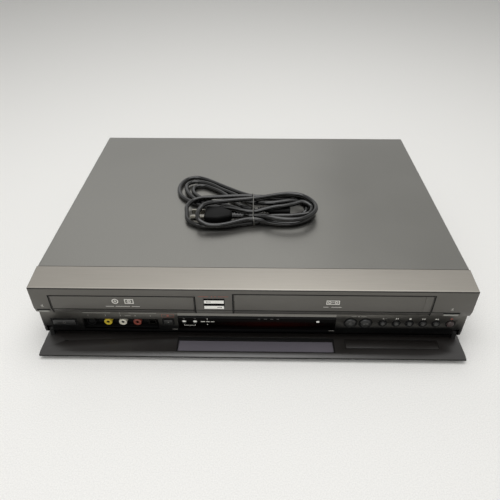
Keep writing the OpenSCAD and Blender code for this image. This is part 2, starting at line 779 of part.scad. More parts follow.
module disc_tray() {
  color("dimgray") in_frame() {
    difference() {
      block(about(tray_x, tray_w), [door_t, door_t + tray_l], [tray_under_z, tray_top_z]);
      rod_z(tray_x, disc_y, [tray_top_z - disc_well_d, tray_top_z + 1], disc_well_r);
      rod_z(tray_x, disc_y, [tray_top_z - disc_well_d - 0.8, tray_top_z + 1], disc_well_r * 2 / 3);
      rod_z(tray_x, disc_y, [tray_under_z - 1, tray_top_z + 1], slot_w / 2);
      block(about(tray_x, slot_w), [disc_y, door_t + tray_l + 1], [tray_under_z - 1, tray_top_z + 1]);
    }
    rack();
  }
}

// Straight-sided teeth that face the pinion, on a bar under the tray.
module rack() {
  pitch = PI * gear_m;
  length = rack_teeth * pitch;
  translate([rack_x, rack_y, tray_under_z - rack_h]) linear_extrude(rack_h + eps) {
    translate([tooth_in, 0]) square([5, length]);
    for (i = [0 : rack_teeth - 1]) translate([0, (i + 0.5) * pitch]) polygon([
      [tooth_in + eps, -pitch * 0.36], [-tooth_out, -pitch * 0.11], [-tooth_out, pitch * 0.11],
      [tooth_in + eps, pitch * 0.36]
    ]);
  }
}

// Teeth stand in the rack's gaps at rest, narrowed by the play.
module tray_gear() {
  root_r = gear_r - tooth_in;
  color("ivory") in_frame() translate([gear_x, gear_y, tray_under_z - rack_h]) difference() {
    linear_extrude(rack_h - 0.5) {
      circle(r = root_r);
      for (i = [0 : gear_teeth - 1]) rotate(i * 360 / gear_teeth) polygon([
        [root_r - 1, -gear_m], [root_r, -gear_m * 0.9], [gear_r, -gear_m * 0.78 + tooth_play / 2],
        [gear_r + tooth_out, -gear_m * 0.42 + tooth_play / 2],
        [gear_r + tooth_out, gear_m * 0.42 - tooth_play / 2],
        [gear_r, gear_m * 0.78 - tooth_play / 2], [root_r, gear_m * 0.9], [root_r - 1, gear_m]
      ]);
    }
    translate([0, 0, -1]) cylinder(r = gear_axle_r + turn_fit, h = rack_h + 2);
  }
}

module drive_chassis() {
  half = drive_w / 2;
  color("lightgray") in_frame() {
    difference() {
      block(about(tray_x, drive_w), [drive_y, drive_y + drive_l], [drive_low_z, bridge_z]);
      block(about(tray_x, drive_w - 2 * drive_wall), [drive_y - 1, drive_y + drive_l - drive_wall],
            [drive_low_z + drive_wall, bridge_z + 1]);
    }
    for (s = [-1, 1]) translate([tray_x, 0, 0]) scale([s, 1, 1])
      block([half - drive_wall - rail_reach, half - drive_wall + eps], [drive_y, drive_y + drive_l - 1],
            [rail_z - rail_h, rail_z]);
    block(about(tray_x, 76), [disc_y - 16, disc_y + 98], [motor_base_z, motor_base_z + 2]);
    for (s = [-1, 1], y = [disc_y - 10, disc_y + 92])
      rod_z(tray_x + s * 33, y, [drive_low_z + drive_wall - eps, motor_base_z + eps], 3);
    difference() {
      rod_z(tray_x, disc_y, [motor_base_z + 2 - eps, motor_base_z + motor_base_h], 11);
      rod_z(tray_x, disc_y, [motor_base_z + 1, motor_base_z + motor_base_h + 1], 1.5 + turn_fit);
    }
    rod_z(gear_x, gear_y, [drive_low_z + drive_wall - eps, tray_under_z - rack_h - run_gap], 5);
    rod_z(gear_x, gear_y, [drive_low_z + drive_wall, tray_under_z - 0.5], gear_axle_r);
    for (s = [-1, 1]) {
      rod_y(tray_x + s * sled_rod_x, [disc_y + 12, disc_y + 96], sled_rod_z, sled_rod_r);
      for (y = [disc_y + 11, disc_y + 94])
        block(about(tray_x + s * sled_rod_x, 6), [y, y + 3], [motor_base_z + 2 - eps, sled_rod_z + 2.5]);
    }
  }
}

// Spindle rotor, shaft, turntable and the cone that centres the disc.
module turntable() {
  color("silver") in_frame() {
    rod_z(tray_x, disc_y, [motor_base_z + 2, tray_top_z - 4], 1.5);
    rod_z(tray_x, disc_y, [motor_base_z + motor_base_h + run_gap, motor_base_z + 9], 13);
    rod_z(tray_x, disc_y, [tray_top_z - 4 - eps, tray_top_z - 1], 14);
    translate([tray_x, disc_y, tray_top_z - 1 - eps]) cylinder(r1 = 7.4, r2 = 6, h = 3 + eps);
  }
}

module pickup_sled() {
  color("dimgray") in_frame() {
    difference() {
      block(about(tray_x, sled_w), about(lens_y + 4, sled_l), [sled_rod_z - 3, sled_rod_z + 3]);
      for (s = [-1, 1]) rod_y(tray_x + s * sled_rod_x, [lens_y - 20, lens_y + 30], sled_rod_z, sled_rod_r + turn_fit);
    }
    block(about(tray_x, 18), about(lens_y + 1, 15), [sled_rod_z + 3 - eps, tray_under_z + 0.5]);
    rod_z(tray_x, lens_y, [tray_under_z + 0.5 - eps, tray_under_z + 2], 3.5);
  }
}

module clamp_bridge() {
  color("gray") in_frame() difference() {
    block(about(tray_x, drive_w), about(disc_y, 44), [bridge_z, bridge_z + 2]);
    rod_z(tray_x, disc_y, [bridge_z - 1, bridge_z + 3], 12.5);
  }
}

module disc_clamp() {
  color("black") in_frame() {
    rod_z(tray_x, disc_y, [hub_top_z + run_gap, bridge_z + 2 + run_gap + eps], 11.5);
    rod_z(tray_x, disc_y, [bridge_z + 2 + run_gap, bridge_z + 4], 15);
  }
}

// ---- Tape deck ----

groove_x = tape_x + 87.8;

module cassette_door() {
  arm_x = door_half - 1 - door_arm_w / 2;
  color("darkslategray") in_frame() {
    difference() {
      across(2 * door_half, tape_x)
        polygon(door_face(tape_low_z + door_gap, tape_high_z - door_gap, door_t));
      block(about(groove_x, line_w), [-1, line_d], [z_fold, tape_high_z + 1]);
    }
    for (s = [-1, 1]) difference() {
      across(door_arm_w, tape_x + s * arm_x) {
        translate([door_pivot_y, door_pivot_z]) circle(r = arm_r);
        polygon([
          [door_t - eps, z_fold + 6], [door_t - eps, tape_high_z - door_gap - 1],
          [door_pivot_y - arm_r, tape_high_z - door_gap - 1], [door_pivot_y - arm_r, door_pivot_z],
          [door_pivot_y + arm_r, door_pivot_z], [door_pivot_y, tape_high_z - 2]
        ]);
      }
      rod_x(about(tape_x + s * arm_x, door_arm_w + 2), door_pivot_y, door_pivot_z, door_pin_r + turn_fit);
    }
  }
}

module deck_side(half) {
  for (s = [-1, 1]) translate([tape_x, 0, 0]) scale([s, 1, 1]) {
    block([half - basket_t, half], [deck_y, deck_y + 126], [deck_z - eps, slider_top_z]);
    block([half - 2 * basket_t - run_gap, half - basket_t + eps], [deck_y, deck_y + 126],
          [slider_low_z - 1.5 - run_gap, slider_low_z - run_gap]);
  }
}

module deck_chassis() {
  color("silver") in_frame() {
    difference() {
      block(about(tape_x, 2 * bracket_half), [deck_y, deck_y + deck_l], [deck_low_z, deck_z]);
      rod_z(capstan_x, capstan_y, [deck_low_z - 1, deck_z + 1], 4);
    }
    difference() {
      rod_z(capstan_x, capstan_y, [deck_low_z, deck_z + 10], 4 + eps);
      rod_z(capstan_x, capstan_y, [deck_low_z - 1, deck_z + 11], capstan_r + turn_fit);
    }
    deck_side(bracket_half);
    for (s = [-1, 1]) rod_z(tape_x + s * reel_pitch / 2, reel_y, [deck_z - eps, deck_z + 14], reel_post_r);
    translate([drum_x, drum_y, deck_z]) {
      translate([0, 0, -eps]) cylinder(r = drum_r - 6, h = 6);
      translate([0, 0, 6]) rotate([0, drum_tilt, 0]) {
        translate([0, 0, -2]) cylinder(r = drum_r, h = 20);
        translate([0, 0, 17]) cylinder(r = 3, h = 16);
      }
    }
    rod_z(pinch_pivot_x, pinch_pivot_y, [deck_z - eps, deck_z + 20], 2);
    for (x = [drum_x - 44, drum_x + 44], y = [drum_y - 12, drum_y + 6])
      if (x < drum_x || y > drum_y) rod_z(x, y, [deck_z - eps, deck_z + 28], 2.5);
  }
}

// Upper drum with the heads, on the lower drum's tilted shaft.
module head_drum() {
  color("silver") in_frame() translate([drum_x, drum_y, deck_z + 6]) rotate([0, drum_tilt, 0])
    difference() {
      translate([0, 0, 18 + run_gap]) cylinder(r = drum_r, h = 14);
      translate([0, 0, 17]) cylinder(r = 3 + turn_fit, h = 17);
      translate([0, 0, 30]) difference() {
        cylinder(r = drum_r - 5, h = 5);
        translate([0, 0, -1]) cylinder(r = 8, h = 7);
      }
    }
}

module basket_slider() {
  color("gray") in_frame() {
    for (s = [-1, 1]) translate([tape_x, 0, 0]) scale([s, 1, 1])
      block([slider_half - basket_t, slider_half], [basket_y, basket_y + basket_l], [slider_low_z, slider_top_z]);
    block(about(tape_x, 2 * slider_half), [basket_y + 6, basket_y + 22], [slider_top_z - eps, slider_top_z + 1.2]);
  }
}

// Two walls with lips under the cassette's edges, and a top plate over it.
module cassette_basket() {
  color("darkgray") in_frame() {
    for (s = [-1, 1]) translate([tape_x, 0, 0]) scale([s, 1, 1]) {
      block([basket_half - basket_t, basket_half], [basket_y, basket_y + basket_l], [basket_low_z, basket_top_z]);
      block([basket_half - 14, basket_half - basket_t + eps], [basket_y, basket_y + basket_l],
            [basket_low_z, basket_low_z + basket_lip]);
    }
    difference() {
      block(about(tape_x, 2 * (basket_half - basket_t + eps)), [basket_y, basket_y + basket_l],
            [basket_top_z - basket_lip, basket_top_z]);
      block(about(tape_x, 110), [basket_y + 10, basket_y + basket_l - 10], [basket_top_z - 3, basket_top_z + 1]);
    }
  }
}

// Flywheel under the deck, shaft up through its bearing.
module capstan() {
  color("silver") in_frame() {
    rod_z(capstan_x, capstan_y, [z_floor + 3, deck_low_z - 3], flywheel_r);
    rod_z(capstan_x, capstan_y, [deck_low_z - 3 - eps, deck_z + 30], capstan_r);
  }
}

module pinch_arm() {
  color("dimgray") in_frame() translate([pinch_pivot_x, pinch_pivot_y, 0]) rotate(pinch_rest) {
    difference() {
      union() {
        rod_z(0, 0, [deck_z + run_gap, deck_z + 9], 4.5);
        block([0, pinch_len], [-3, 3], [deck_z + 3, deck_z + 6]);
        rod_z(pinch_len, 0, [deck_z + 3, deck_z + 6], 3.2);
      }
      rod_z(0, 0, [deck_z, deck_z + 10], 2 + turn_fit);
    }
    rod_z(pinch_len, 0, [deck_z + 6 - eps, deck_z + 26], 1.5);
  }
}

module pinch_roller() {
  color("black") in_frame() difference() {
    rod_z(pinch_x, pinch_y, [deck_z + 11, deck_z + 25], pinch_r);
    rod_z(pinch_x, pinch_y, [deck_z + 10, deck_z + 26], 1.5 + turn_fit);
  }
}

// A reel table with three fins that drive the cassette's hub.
module reel(x, tint) {
  color(tint) in_frame() translate([x, reel_y, deck_z]) difference() {
    union() {
      translate([0, 0, run_gap]) cylinder(r = reel_r, h = 3);
      translate([0, 0, 3]) cylinder(r = 10, h = 2);
      translate([0, 0, 5 - eps]) cylinder(r = 4.5, h = 12);
      for (i = [0 : 2]) rotate(120 * i) translate([0, -1, 4.9]) cube([8, 2, 9]);
    }
    cylinder(r = reel_post_r + turn_fit, h = 15);
  }
}

module supply_reel() { reel(tape_x - reel_pitch / 2, "black"); }
module takeup_reel() { reel(tape_x + reel_pitch / 2, "black"); }

// ---- Boards and rear sockets ----

tuner_w = 44;
tuner_l = 59;
tuner_h = 24;
chip_w = 28;

// Main board, with the tuner can behind the antenna sockets.
module main_board() {
  z = rear_board_z + board_t;
  tuner_x = (antenna_x[0] + antenna_x[1]) / 2;
  chip_y = [rear_board_y + rear_board_l * 0.15, rear_board_y + rear_board_l * 0.5];
  color("darkgreen") in_frame() {
    block(main_board_x, [rear_board_y, rear_board_y + rear_board_l], [rear_board_z, z]);
    block(about(tuner_x, tuner_w), [case_d - sheet_t - 0.2 - tuner_l, case_d - sheet_t - 0.2], [z - eps, z + tuner_h]);
    for (x = antenna_x) rod_y(x, [case_d - 2, case_d + socket_out], rear_row_z[0], antenna_r);
    for (x = [-40, 6, 60]) block([place(x), place(x) + chip_w], chip_y, [z - eps, z + 2.4]);
    for (i = [0 : 5]) rod_z(place(-50 + 36 * i), rear_board_y + rear_board_l * 0.64, [z - eps, z + 12], 4);
  }
}

transformer_l = 35;
heatsink_h = 34;
smoothing_r = 11;

// Power board: transformer, smoothing capacitors and a heatsink.
module power_board() {
  z = rear_board_z + board_t;
  color("peru") in_frame() {
    block(power_board_x, [rear_board_y, rear_board_y + rear_board_l], [rear_board_z, z]);
    block(about(place(-132.5), transformer_l), [rear_board_y + 10, rear_board_y + 10 + transformer_l],
          [z - eps, z + 28]);
    rod_z(place(-180), rear_board_y + smoothing_r + 2, [z - eps, z + 30], smoothing_r);
    block(about(place(-102.5), 3), [rear_board_y + 6, rear_board_y + rear_board_l * 0.77],
          [z - eps, z + heatsink_h]);
    for (i = [0 : 2])
      rod_z(place(-88), rear_board_y + rear_board_l * (0.18 + 0.23 * i), [z - eps, z + 20], 5);
  }
}

antenna_r = 4.7;

// Moulded blocks of phono sockets, one block for each column.
module rear_jacks() {
  color("black") in_frame()
    for (x = rear_block_x) {
      block(about(x, 16), [case_d - 16, case_d - sheet_t - 0.2],
            [rear_board_z + board_t, rear_row_z[1] + 8]);
      for (z = rear_row_z) difference() {
        rod_y(x, [case_d - sheet_t - 0.2 - eps, case_d + socket_out - 1], z, phono_r);
        rod_y(x, [case_d, case_d + socket_out], z, phono_hole_r);
      }
    }
}

inlet_w = 24;
inlet_h = 16;

// Two-pin inlet: a shrouded well with two round pins.
module ac_inlet() {
  color("black") in_frame() {
    difference() {
      block(about(inlet_x, inlet_w), [case_d - 18, case_d + 1], about(inlet_z, inlet_h));
      block(about(inlet_x, 15), [case_d - 12, case_d + 2], about(inlet_z, 8.2));
    }
    for (s = [-1, 1]) rod_y(inlet_x + s * 4.3, [case_d - 12 - eps, case_d - 2], inlet_z, 1.2);
    block(about(inlet_x, inlet_w), [case_d - 18, case_d - 12], [rear_board_z + board_t, inlet_z]);
  }
}

// ---- Mains lead, tied in a hank on the cover ----

module plug_frame() { translate([plug_at[0], plug_at[1], plug_z + plug_h / 2]) rotate(plug_turn) children(); }

module plug_outline(grow) {
  polygon([
    [-grow, -plug_narrow / 2 - grow], [plug_l * 0.4, -plug_wide / 2 - grow], [plug_l + grow, -plug_wide / 2 - grow],
    [plug_l + grow, plug_wide / 2 + grow], [plug_l * 0.4, plug_wide / 2 + grow], [-grow, plug_narrow / 2 + grow]
  ]);
}

module mains_lead() {
  color("black") in_frame() difference() {
    translate([0, 0, hank_z]) linear_extrude(hank_h) {
      lobe(hank_rear);
      lobe(hank_front);
      lobe(hank_right);
    }
    plug_frame() {
      translate([0, 0, -plug_h / 2 - run_gap]) linear_extrude(hank_h) plug_outline(run_gap);
      block([plug_l - 1, plug_l + blade_l + 1], about(0, blade_pitch + 4), [-blade_w / 2 - 1, hank_h]);
      block([-relief_l - run_gap, 0], about(0, 2 * relief_r + 2 * run_gap), [-relief_r - run_gap, hank_h]);
    }
    block([connector_at[0] - relief_l - run_gap, connector_at[0] + connector_l + run_gap],
          about(connector_at[1], connector_w + 2 * run_gap), [hank_z - 1, hank_z + connector_h + run_gap]);
  }
}

relief_r = 4.5;

// Tapered sleeve that keeps the cord from kinking where it leaves a moulding.
module relief(r) {
  rotate([0, -90, 0]) cylinder(r1 = r, r2 = cord_r + 0.4, h = relief_l);
}

module mains_plug() {
  color("black") in_frame() plug_frame() {
    translate([0, 0, -plug_h / 2]) linear_extrude(plug_h) plug_outline(0);
    translate([eps, 0, 0]) relief(relief_r);
    for (s = [-1, 1])
      block([plug_l - eps, plug_l + blade_l], about(s * blade_pitch / 2, blade_t), about(0, blade_w));
  }
}

module lead_connector() {
  color("black") in_frame() translate([connector_at[0], connector_at[1], hank_z + connector_h / 2]) {
    difference() {
      block([0, connector_l], about(0, connector_w), about(0, connector_h));
      for (s = [-1, 1]) rod_x([connector_l - 12, connector_l + 1], s * 4.3, 0, 1.4);
    }
    translate([eps, 0, 0]) relief(connector_h / 2 - 0.2);
  }
}

// Wire tie over the hank's waist, its ends turned down to the cover.
module cord_tie() {
  top_z = hank_z + hank_h + tie_r + run_gap;
  color("silver") in_frame() {
    rod_y(0, [tie_y - tie_half, tie_y + tie_half], top_z, tie_r);
    for (s = [-1, 1]) {
      translate([0, tie_y + s * tie_half, top_z]) sphere(r = tie_r);
      rod_z(0, tie_y + s * tie_half, [hank_z, top_z], tie_r);
    }
  }
}

top_cover();
bottom_chassis();
rear_panel();
front_bezel();
feet();
cover_screws();
front_flap();
flap_window();
display_window();
display_tube();
front_board();
jack_bay();
svideo_jack();
video_jack();
audio_left_jack();
audio_right_jack();
dv_jack();
power_button();
tray_button();
eject_button();
dub_to_disc_button();
dub_to_tape_button();
disc_record_button();
channel_down_button();
channel_up_button();
disc_select_button();
tape_select_button();
pause_button();
play_button();
stop_button();
rewind_button();
forward_button();
tape_record_button();
disc_tray();
tray_door();
drive_chassis();
tray_gear();
turntable();
pickup_sled();
clamp_bridge();
disc_clamp();
cassette_door();
deck_chassis();
basket_slider();
cassette_basket();
head_drum();
capstan();
pinch_arm();
pinch_roller();
supply_reel();
takeup_reel();
main_board();
power_board();
rear_jacks();
ac_inlet();
mains_lead();
mains_plug();
lead_connector();
cord_tie();
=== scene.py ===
import json
import math

import bmesh
import bpy
from mathutils import Matrix, Vector

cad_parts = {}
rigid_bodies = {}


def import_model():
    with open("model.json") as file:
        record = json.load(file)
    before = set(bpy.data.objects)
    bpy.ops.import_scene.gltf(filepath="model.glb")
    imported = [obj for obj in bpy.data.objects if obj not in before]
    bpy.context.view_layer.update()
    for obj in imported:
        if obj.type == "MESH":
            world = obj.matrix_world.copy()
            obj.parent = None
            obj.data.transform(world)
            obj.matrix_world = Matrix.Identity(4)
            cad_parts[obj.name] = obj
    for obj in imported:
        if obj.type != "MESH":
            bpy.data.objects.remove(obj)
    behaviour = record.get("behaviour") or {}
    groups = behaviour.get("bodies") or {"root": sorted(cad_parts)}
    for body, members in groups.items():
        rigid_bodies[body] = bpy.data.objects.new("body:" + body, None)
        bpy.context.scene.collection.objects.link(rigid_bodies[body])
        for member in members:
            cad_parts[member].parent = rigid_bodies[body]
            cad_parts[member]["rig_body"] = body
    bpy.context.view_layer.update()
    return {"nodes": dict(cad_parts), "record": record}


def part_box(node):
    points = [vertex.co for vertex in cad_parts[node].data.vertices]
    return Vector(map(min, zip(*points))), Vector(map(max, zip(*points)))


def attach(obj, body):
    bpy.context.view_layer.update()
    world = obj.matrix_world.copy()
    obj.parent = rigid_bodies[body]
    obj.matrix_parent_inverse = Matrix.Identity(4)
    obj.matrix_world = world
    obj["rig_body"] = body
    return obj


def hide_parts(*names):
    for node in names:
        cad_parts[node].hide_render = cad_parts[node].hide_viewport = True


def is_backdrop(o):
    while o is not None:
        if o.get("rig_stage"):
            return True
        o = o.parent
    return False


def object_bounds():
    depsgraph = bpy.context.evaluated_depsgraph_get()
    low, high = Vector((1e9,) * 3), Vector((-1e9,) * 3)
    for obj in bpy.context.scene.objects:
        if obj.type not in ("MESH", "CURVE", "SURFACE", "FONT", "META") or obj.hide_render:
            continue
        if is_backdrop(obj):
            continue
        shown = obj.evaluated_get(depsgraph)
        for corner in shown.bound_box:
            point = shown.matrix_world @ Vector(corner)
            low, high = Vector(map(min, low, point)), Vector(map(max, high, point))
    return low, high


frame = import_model()

# ---- Camera ----
# A short lens that stands above and in front of the player and looks down on its cover,
# turned a hair to the left and all but level.
lens_mm, sensor_mm, farthest = 35.24, 36, 50
eye = (0.004216, -0.500507, 0.39283)
yaw, pitch, roll = (math.radians(a) for a in (-0.984, 37.766, -0.109))

camera = bpy.data.objects.new("camera", bpy.data.cameras.new("camera"))
bpy.context.scene.collection.objects.link(camera)
bpy.context.scene.camera = camera
camera.data.sensor_width = sensor_mm
camera.data.lens = lens_mm
camera.data.clip_end = farthest
ahead = Vector((math.sin(yaw) * math.cos(pitch), math.cos(yaw) * math.cos(pitch),
                -math.sin(pitch)))
sideways = Vector((math.cos(yaw), -math.sin(yaw), 0))
above = sideways.cross(ahead)
right = sideways * math.cos(roll) + above * math.sin(roll)
upward = above * math.cos(roll) - sideways * math.sin(roll)
stance = Matrix((right, upward, -ahead)).transposed().to_4x4()
stance.translation = eye
camera.matrix_world = stance


# ---- Mains cord ----
# Two-core flex in a round black vinyl jacket, extruded and glossy from the die. It is wound
# into an uneven flat hank of long loops, and lies on the cover under its own weight.
cord_thick = 0.005
# Its route in millimetres, from the plug's sleeve to the connector's.
cord_line = [
    (-4.0, -46.2, 88.6), (7.5, -48.7, 90.5), (18.4, -53.1, 92.1), (29.8, -56.5, 92.2),
    (41.6, -57.9, 92.2), (53.2, -55.7, 92.0), (62.8, -48.8, 91.9), (69.6, -39.2, 92.5),
    (70.3, -27.5, 92.4), (65.2, -16.9, 92.8), (56.5, -8.9, 93.0), (45.3, -5.3, 93.0),
    (33.5, -6.3, 92.9), (22.0, -9.3, 92.8), (10.8, -13.4, 93.0), (-0.4, -17.3, 93.4),
    (-12.0, -20.0, 93.8), (-23.6, -22.4, 94.1), (-35.2, -25.1, 94.3), (-46.2, -29.3, 95.4),
    (-55.4, -36.5, 96.8), (-60.8, -46.7, 94.7), (-60.0, -57.9, 92.1), (-50.6, -64.1, 89.3),
    (-38.8, -64.6, 88.6), (-27.3, -61.6, 88.6), (-16.3, -57.3, 89.1), (-5.0, -53.5, 89.3),
    (6.8, -53.3, 88.5), (18.2, -53.5, 85.1), (30.0, -54.6, 84.2), (41.8, -54.5, 84.2),
    (53.1, -50.9, 84.3), (62.6, -43.8, 84.8), (68.5, -33.7, 85.5), (70.3, -22.0, 86.1),
    (66.7, -10.9, 86.8), (57.1, -4.2, 87.6), (45.5, -2.0, 88.7), (33.7, -3.0, 89.2),
    (21.9, -4.4, 88.7), (10.0, -4.2, 88.0), (-1.9, -3.9, 88.3), (-13.7, -4.7, 89.0),
    (-25.6, -5.4, 89.1), (-37.5, -6.2, 88.7), (-49.3, -7.5, 88.9), (-61.0, -9.6, 89.0),
    (-71.0, -15.7, 88.8), (-76.1, -26.2, 88.2), (-75.1, -37.9, 86.8), (-72.7, -49.4, 85.3),
    (-64.0, -56.7, 84.3), (-52.7, -60.2, 84.2), (-40.8, -60.5, 84.2), (-29.0, -59.3, 84.2),
    (-17.5, -56.3, 84.2), (-5.9, -53.7, 84.2), (5.6, -50.7, 84.3), (16.1, -47.3, 88.5),
    (27.6, -45.4, 88.7), (39.5, -45.4, 88.9), (51.3, -43.8, 89.0), (62.6, -40.6, 89.6),
    (65.9, -30.2, 91.0), (57.3, -23.6, 93.4), (46.4, -27.7, 93.1), (35.4, -32.2, 93.3),
    (23.8, -34.9, 93.3), (12.3, -37.4, 92.0), (0.8, -38.7, 89.6), (-10.8, -36.3, 89.2),
    (-21.9, -32.0, 88.9), (-33.1, -28.2, 87.9), (-44.5, -25.3, 86.1), (-55.6, -21.5, 84.3),
    (-65.9, -15.6, 84.2), (-75.6, -8.7, 84.2), (-84.1, -0.4, 84.2), (-89.4, 10.1, 84.2),
    (-91.1, 21.8, 84.2), (-89.0, 33.5, 84.2), (-82.6, 43.4, 84.2), (-71.7, 47.1, 84.2),
    (-60.7, 42.7, 84.2), (-50.9, 36.0, 84.2), (-41.4, 28.8, 84.2), (-31.9, 21.6, 84.2),
    (-22.3, 14.7, 84.2), (-12.3, 8.2, 84.2), (-1.6, 3.0, 84.2), (9.8, -0.4, 84.2),
    (21.6, -2.0, 84.2), (33.4, -2.8, 84.2), (45.3, -4.1, 84.2), (56.4, -8.1, 84.2),
    (64.2, -16.9, 84.2), (65.0, -28.5, 84.2), (59.9, -39.2, 84.2), (50.8, -46.6, 84.2),
    (39.3, -49.5, 84.2), (27.5, -48.3, 84.2), (16.2, -44.8, 84.2), (4.7, -41.6, 84.2),
    (-6.5, -37.7, 84.2), (-17.1, -32.3, 84.2), (-27.8, -27.0, 84.2), (-38.6, -22.0, 84.2),
    (-49.4, -17.2, 84.2), (-60.0, -11.8, 84.2), (-69.4, -4.5, 84.2), (-76.8, 4.8, 84.9),
    (-81.6, 15.6, 85.5), (-82.0, 27.3, 85.6), (-73.6, 34.6, 85.2), (-62.0, 32.3, 85.6),
    (-51.5, 27.0, 85.6), (-41.7, 20.3, 84.4), (-32.0, 13.4, 84.2), (-22.4, 6.4, 84.2),
    (-13.7, -1.7, 84.2), (-5.9, -10.6, 84.8), (2.8, -18.1, 87.9), (11.4, -25.0, 92.4),
    (22.9, -26.1, 93.3), (34.5, -23.4, 93.3), (46.0, -20.5, 92.7), (56.8, -21.6, 88.9),
    (60.3, -32.0, 87.9), (52.4, -40.0, 85.4), (41.3, -43.6, 84.2), (29.4, -42.9, 84.2),
    (17.9, -40.2, 84.2), (6.5, -36.8, 84.2), (-4.7, -32.8, 84.2), (-14.8, -26.6, 84.2),
    (-25.3, -20.9, 84.2), (-36.0, -15.7, 84.2), (-46.9, -10.9, 84.2), (-57.5, -5.5, 84.2),
    (-66.6, 2.1, 84.2), (-72.9, 12.1, 84.2), (-72.4, 23.6, 84.2), (-62.0, 27.0, 84.2),
    (-51.6, 21.4, 84.2), (-42.0, 14.3, 84.2), (-33.7, 5.9, 84.2), (-26.5, -3.7, 84.2),
    (-20.0, -13.6, 84.8), (-12.0, -22.3, 85.4), (-2.0, -28.7, 86.2),
]


def linear(code, alpha=1):
    """A colour written as sRGB hex, turned to the linear values that a socket takes."""
    parts = [int(code[i:i + 2], 16) / 255 for i in (1, 3, 5)]
    return (*[c / 12.92 if c <= 0.04045 else ((c + 0.055) / 1.055) ** 2.4 for c in parts], alpha)


def add(tree, kind, settings=None, links=None):
    """Adds a node. A setting is a property of it or an input, a link an output for an input."""
    node = tree.nodes.new("ShaderNode" + kind)
    for key, value in (settings or {}).items():
        if isinstance(key, str) and hasattr(node, key):
            setattr(node, key, value)
        else:
            node.inputs[key].default_value = value
    for key, output in (links or {}).items():
        tree.links.new(output, node.inputs[key])
    return node


def surface(name, **sockets):
    """A new material with its shader; sockets are set on the shader, underscores for spaces."""
    material = bpy.data.materials.new(name)
    material.use_nodes = True
    shader = material.node_tree.nodes["Principled BSDF"]
    for key, value in sockets.items():
        shader.inputs[key.replace("_", " ")].default_value = value
    return material, material.node_tree, shader


def grained(name, dark, light, grain_mm, rough, lift_mm=0.01, patch_mm=60, **sockets):
    """A finish with fine grain in its height, and two tones and a roughness that drift on it."""
    noise_range = {"From Min": 0.3, "From Max": 0.7}    # where most of a noise's values lie
    fleck = 0.06                                        # how far the grain varies the tone
    material, tree, shader = surface(name, **sockets)
    place = add(tree, "TexCoord").outputs["Object"]
    grain = add(tree, "TexNoise", {"Scale": 1000 / grain_mm, "Detail": 2}, {"Vector": place})
    patch = add(tree, "TexNoise", {"Scale": 1000 / patch_mm, "Detail": 3}, {"Vector": place})
    tones = add(tree, "Mix", {"data_type": "RGBA", 6: linear(dark), 7: linear(light)},
                {0: patch.outputs["Fac"]})
    speck = add(tree, "MapRange", {**noise_range, "To Min": 1 - fleck, "To Max": 1 + fleck},
                {"Value": grain.outputs["Fac"]})
    tinted = add(tree, "VectorMath", {"operation": "SCALE"},
                 {0: tones.outputs[2], "Scale": speck.outputs["Result"]})
    gloss = add(tree, "MapRange", {**noise_range, "To Min": rough[0], "To Max": rough[1]},
                {"Value": patch.outputs["Fac"]})
    relief = add(tree, "Bump", {"Distance": lift_mm / 1000, "Strength": 1},
                 {"Height": grain.outputs["Fac"]})
    tree.links.new(tinted.outputs["Vector"], shader.inputs["Base Color"])
    tree.links.new(gloss.outputs["Result"], shader.inputs["Roughness"])
    tree.links.new(relief.outputs["Normal"], shader.inputs["Normal"])
    return material


def piece(name, shape, material, body, stands_for=(), smooth=40):
    """Makes a finished bmesh an object that rides on a body and may stand for CAD nodes."""
    small = 2e-5    # square metres: larger faces are flat, and shade as flat
    mesh = bpy.data.meshes.new(name)
    shape.to_mesh(mesh)
    shape.free()
    mesh.materials.append(material)
    for face in mesh.polygons:
        face.use_smooth = len(face.vertices) <= 4 and face.area < small
    mesh.set_sharp_from_angle(angle=math.radians(smooth))
    made = bpy.data.objects.new(name, mesh)
    bpy.context.scene.collection.objects.link(made)
    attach(made, body)
    if stands_for:
        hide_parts(*stands_for)
    return made


# Vinyl, extruded: black and glossy, with a faint bloom of plasticiser and a grain from the die.
cord_vinyl = grained("vinyl_cord_jacket", "#050505", "#080808", 0.7, (0.08, 0.12),
                     lift_mm=0.003, IOR=1.48)


def drawn_round(name, places, radius, material, stands_for, between):
    """A round cord or wire on one smooth line through these places, with closed ends."""
    curve = bpy.data.curves.new(name, "CURVE")
    curve.dimensions = "3D"
    curve.bevel_depth = radius
    curve.bevel_resolution = 4
    curve.use_fill_caps = True
    smooth = []
    last = len(places) - 1
    for i in range(last):
        before, start, end, after = (places[min(max(i + k, 0), last)] for k in (-1, 0, 1, 2))
        for k in range(between):
            t = k / between
            smooth.append(0.5 * (2 * start + (end - before) * t
                                 + (2 * before - 5 * start + 4 * end - after) * t ** 2
                                 + (3 * start - before - 3 * end + after) * t ** 3))
    smooth.append(places[-1])
    line = curve.splines.new("POLY")
    line.points.add(len(smooth) - 1)
    for spot, place in zip(line.points, smooth):
        spot.co = (*place, 1)
    line.use_smooth = True
    curve.materials.append(material)
    made = bpy.data.objects.new(name, curve)
    bpy.context.scene.collection.objects.link(made)
    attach(made, "lead")
    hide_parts(stands_for)
    return made


mains_cord = drawn_round("mains_cord", [Vector(p) / 1000 for p in cord_line], cord_thick / 2,
                         cord_vinyl, "mains_lead", between=4)


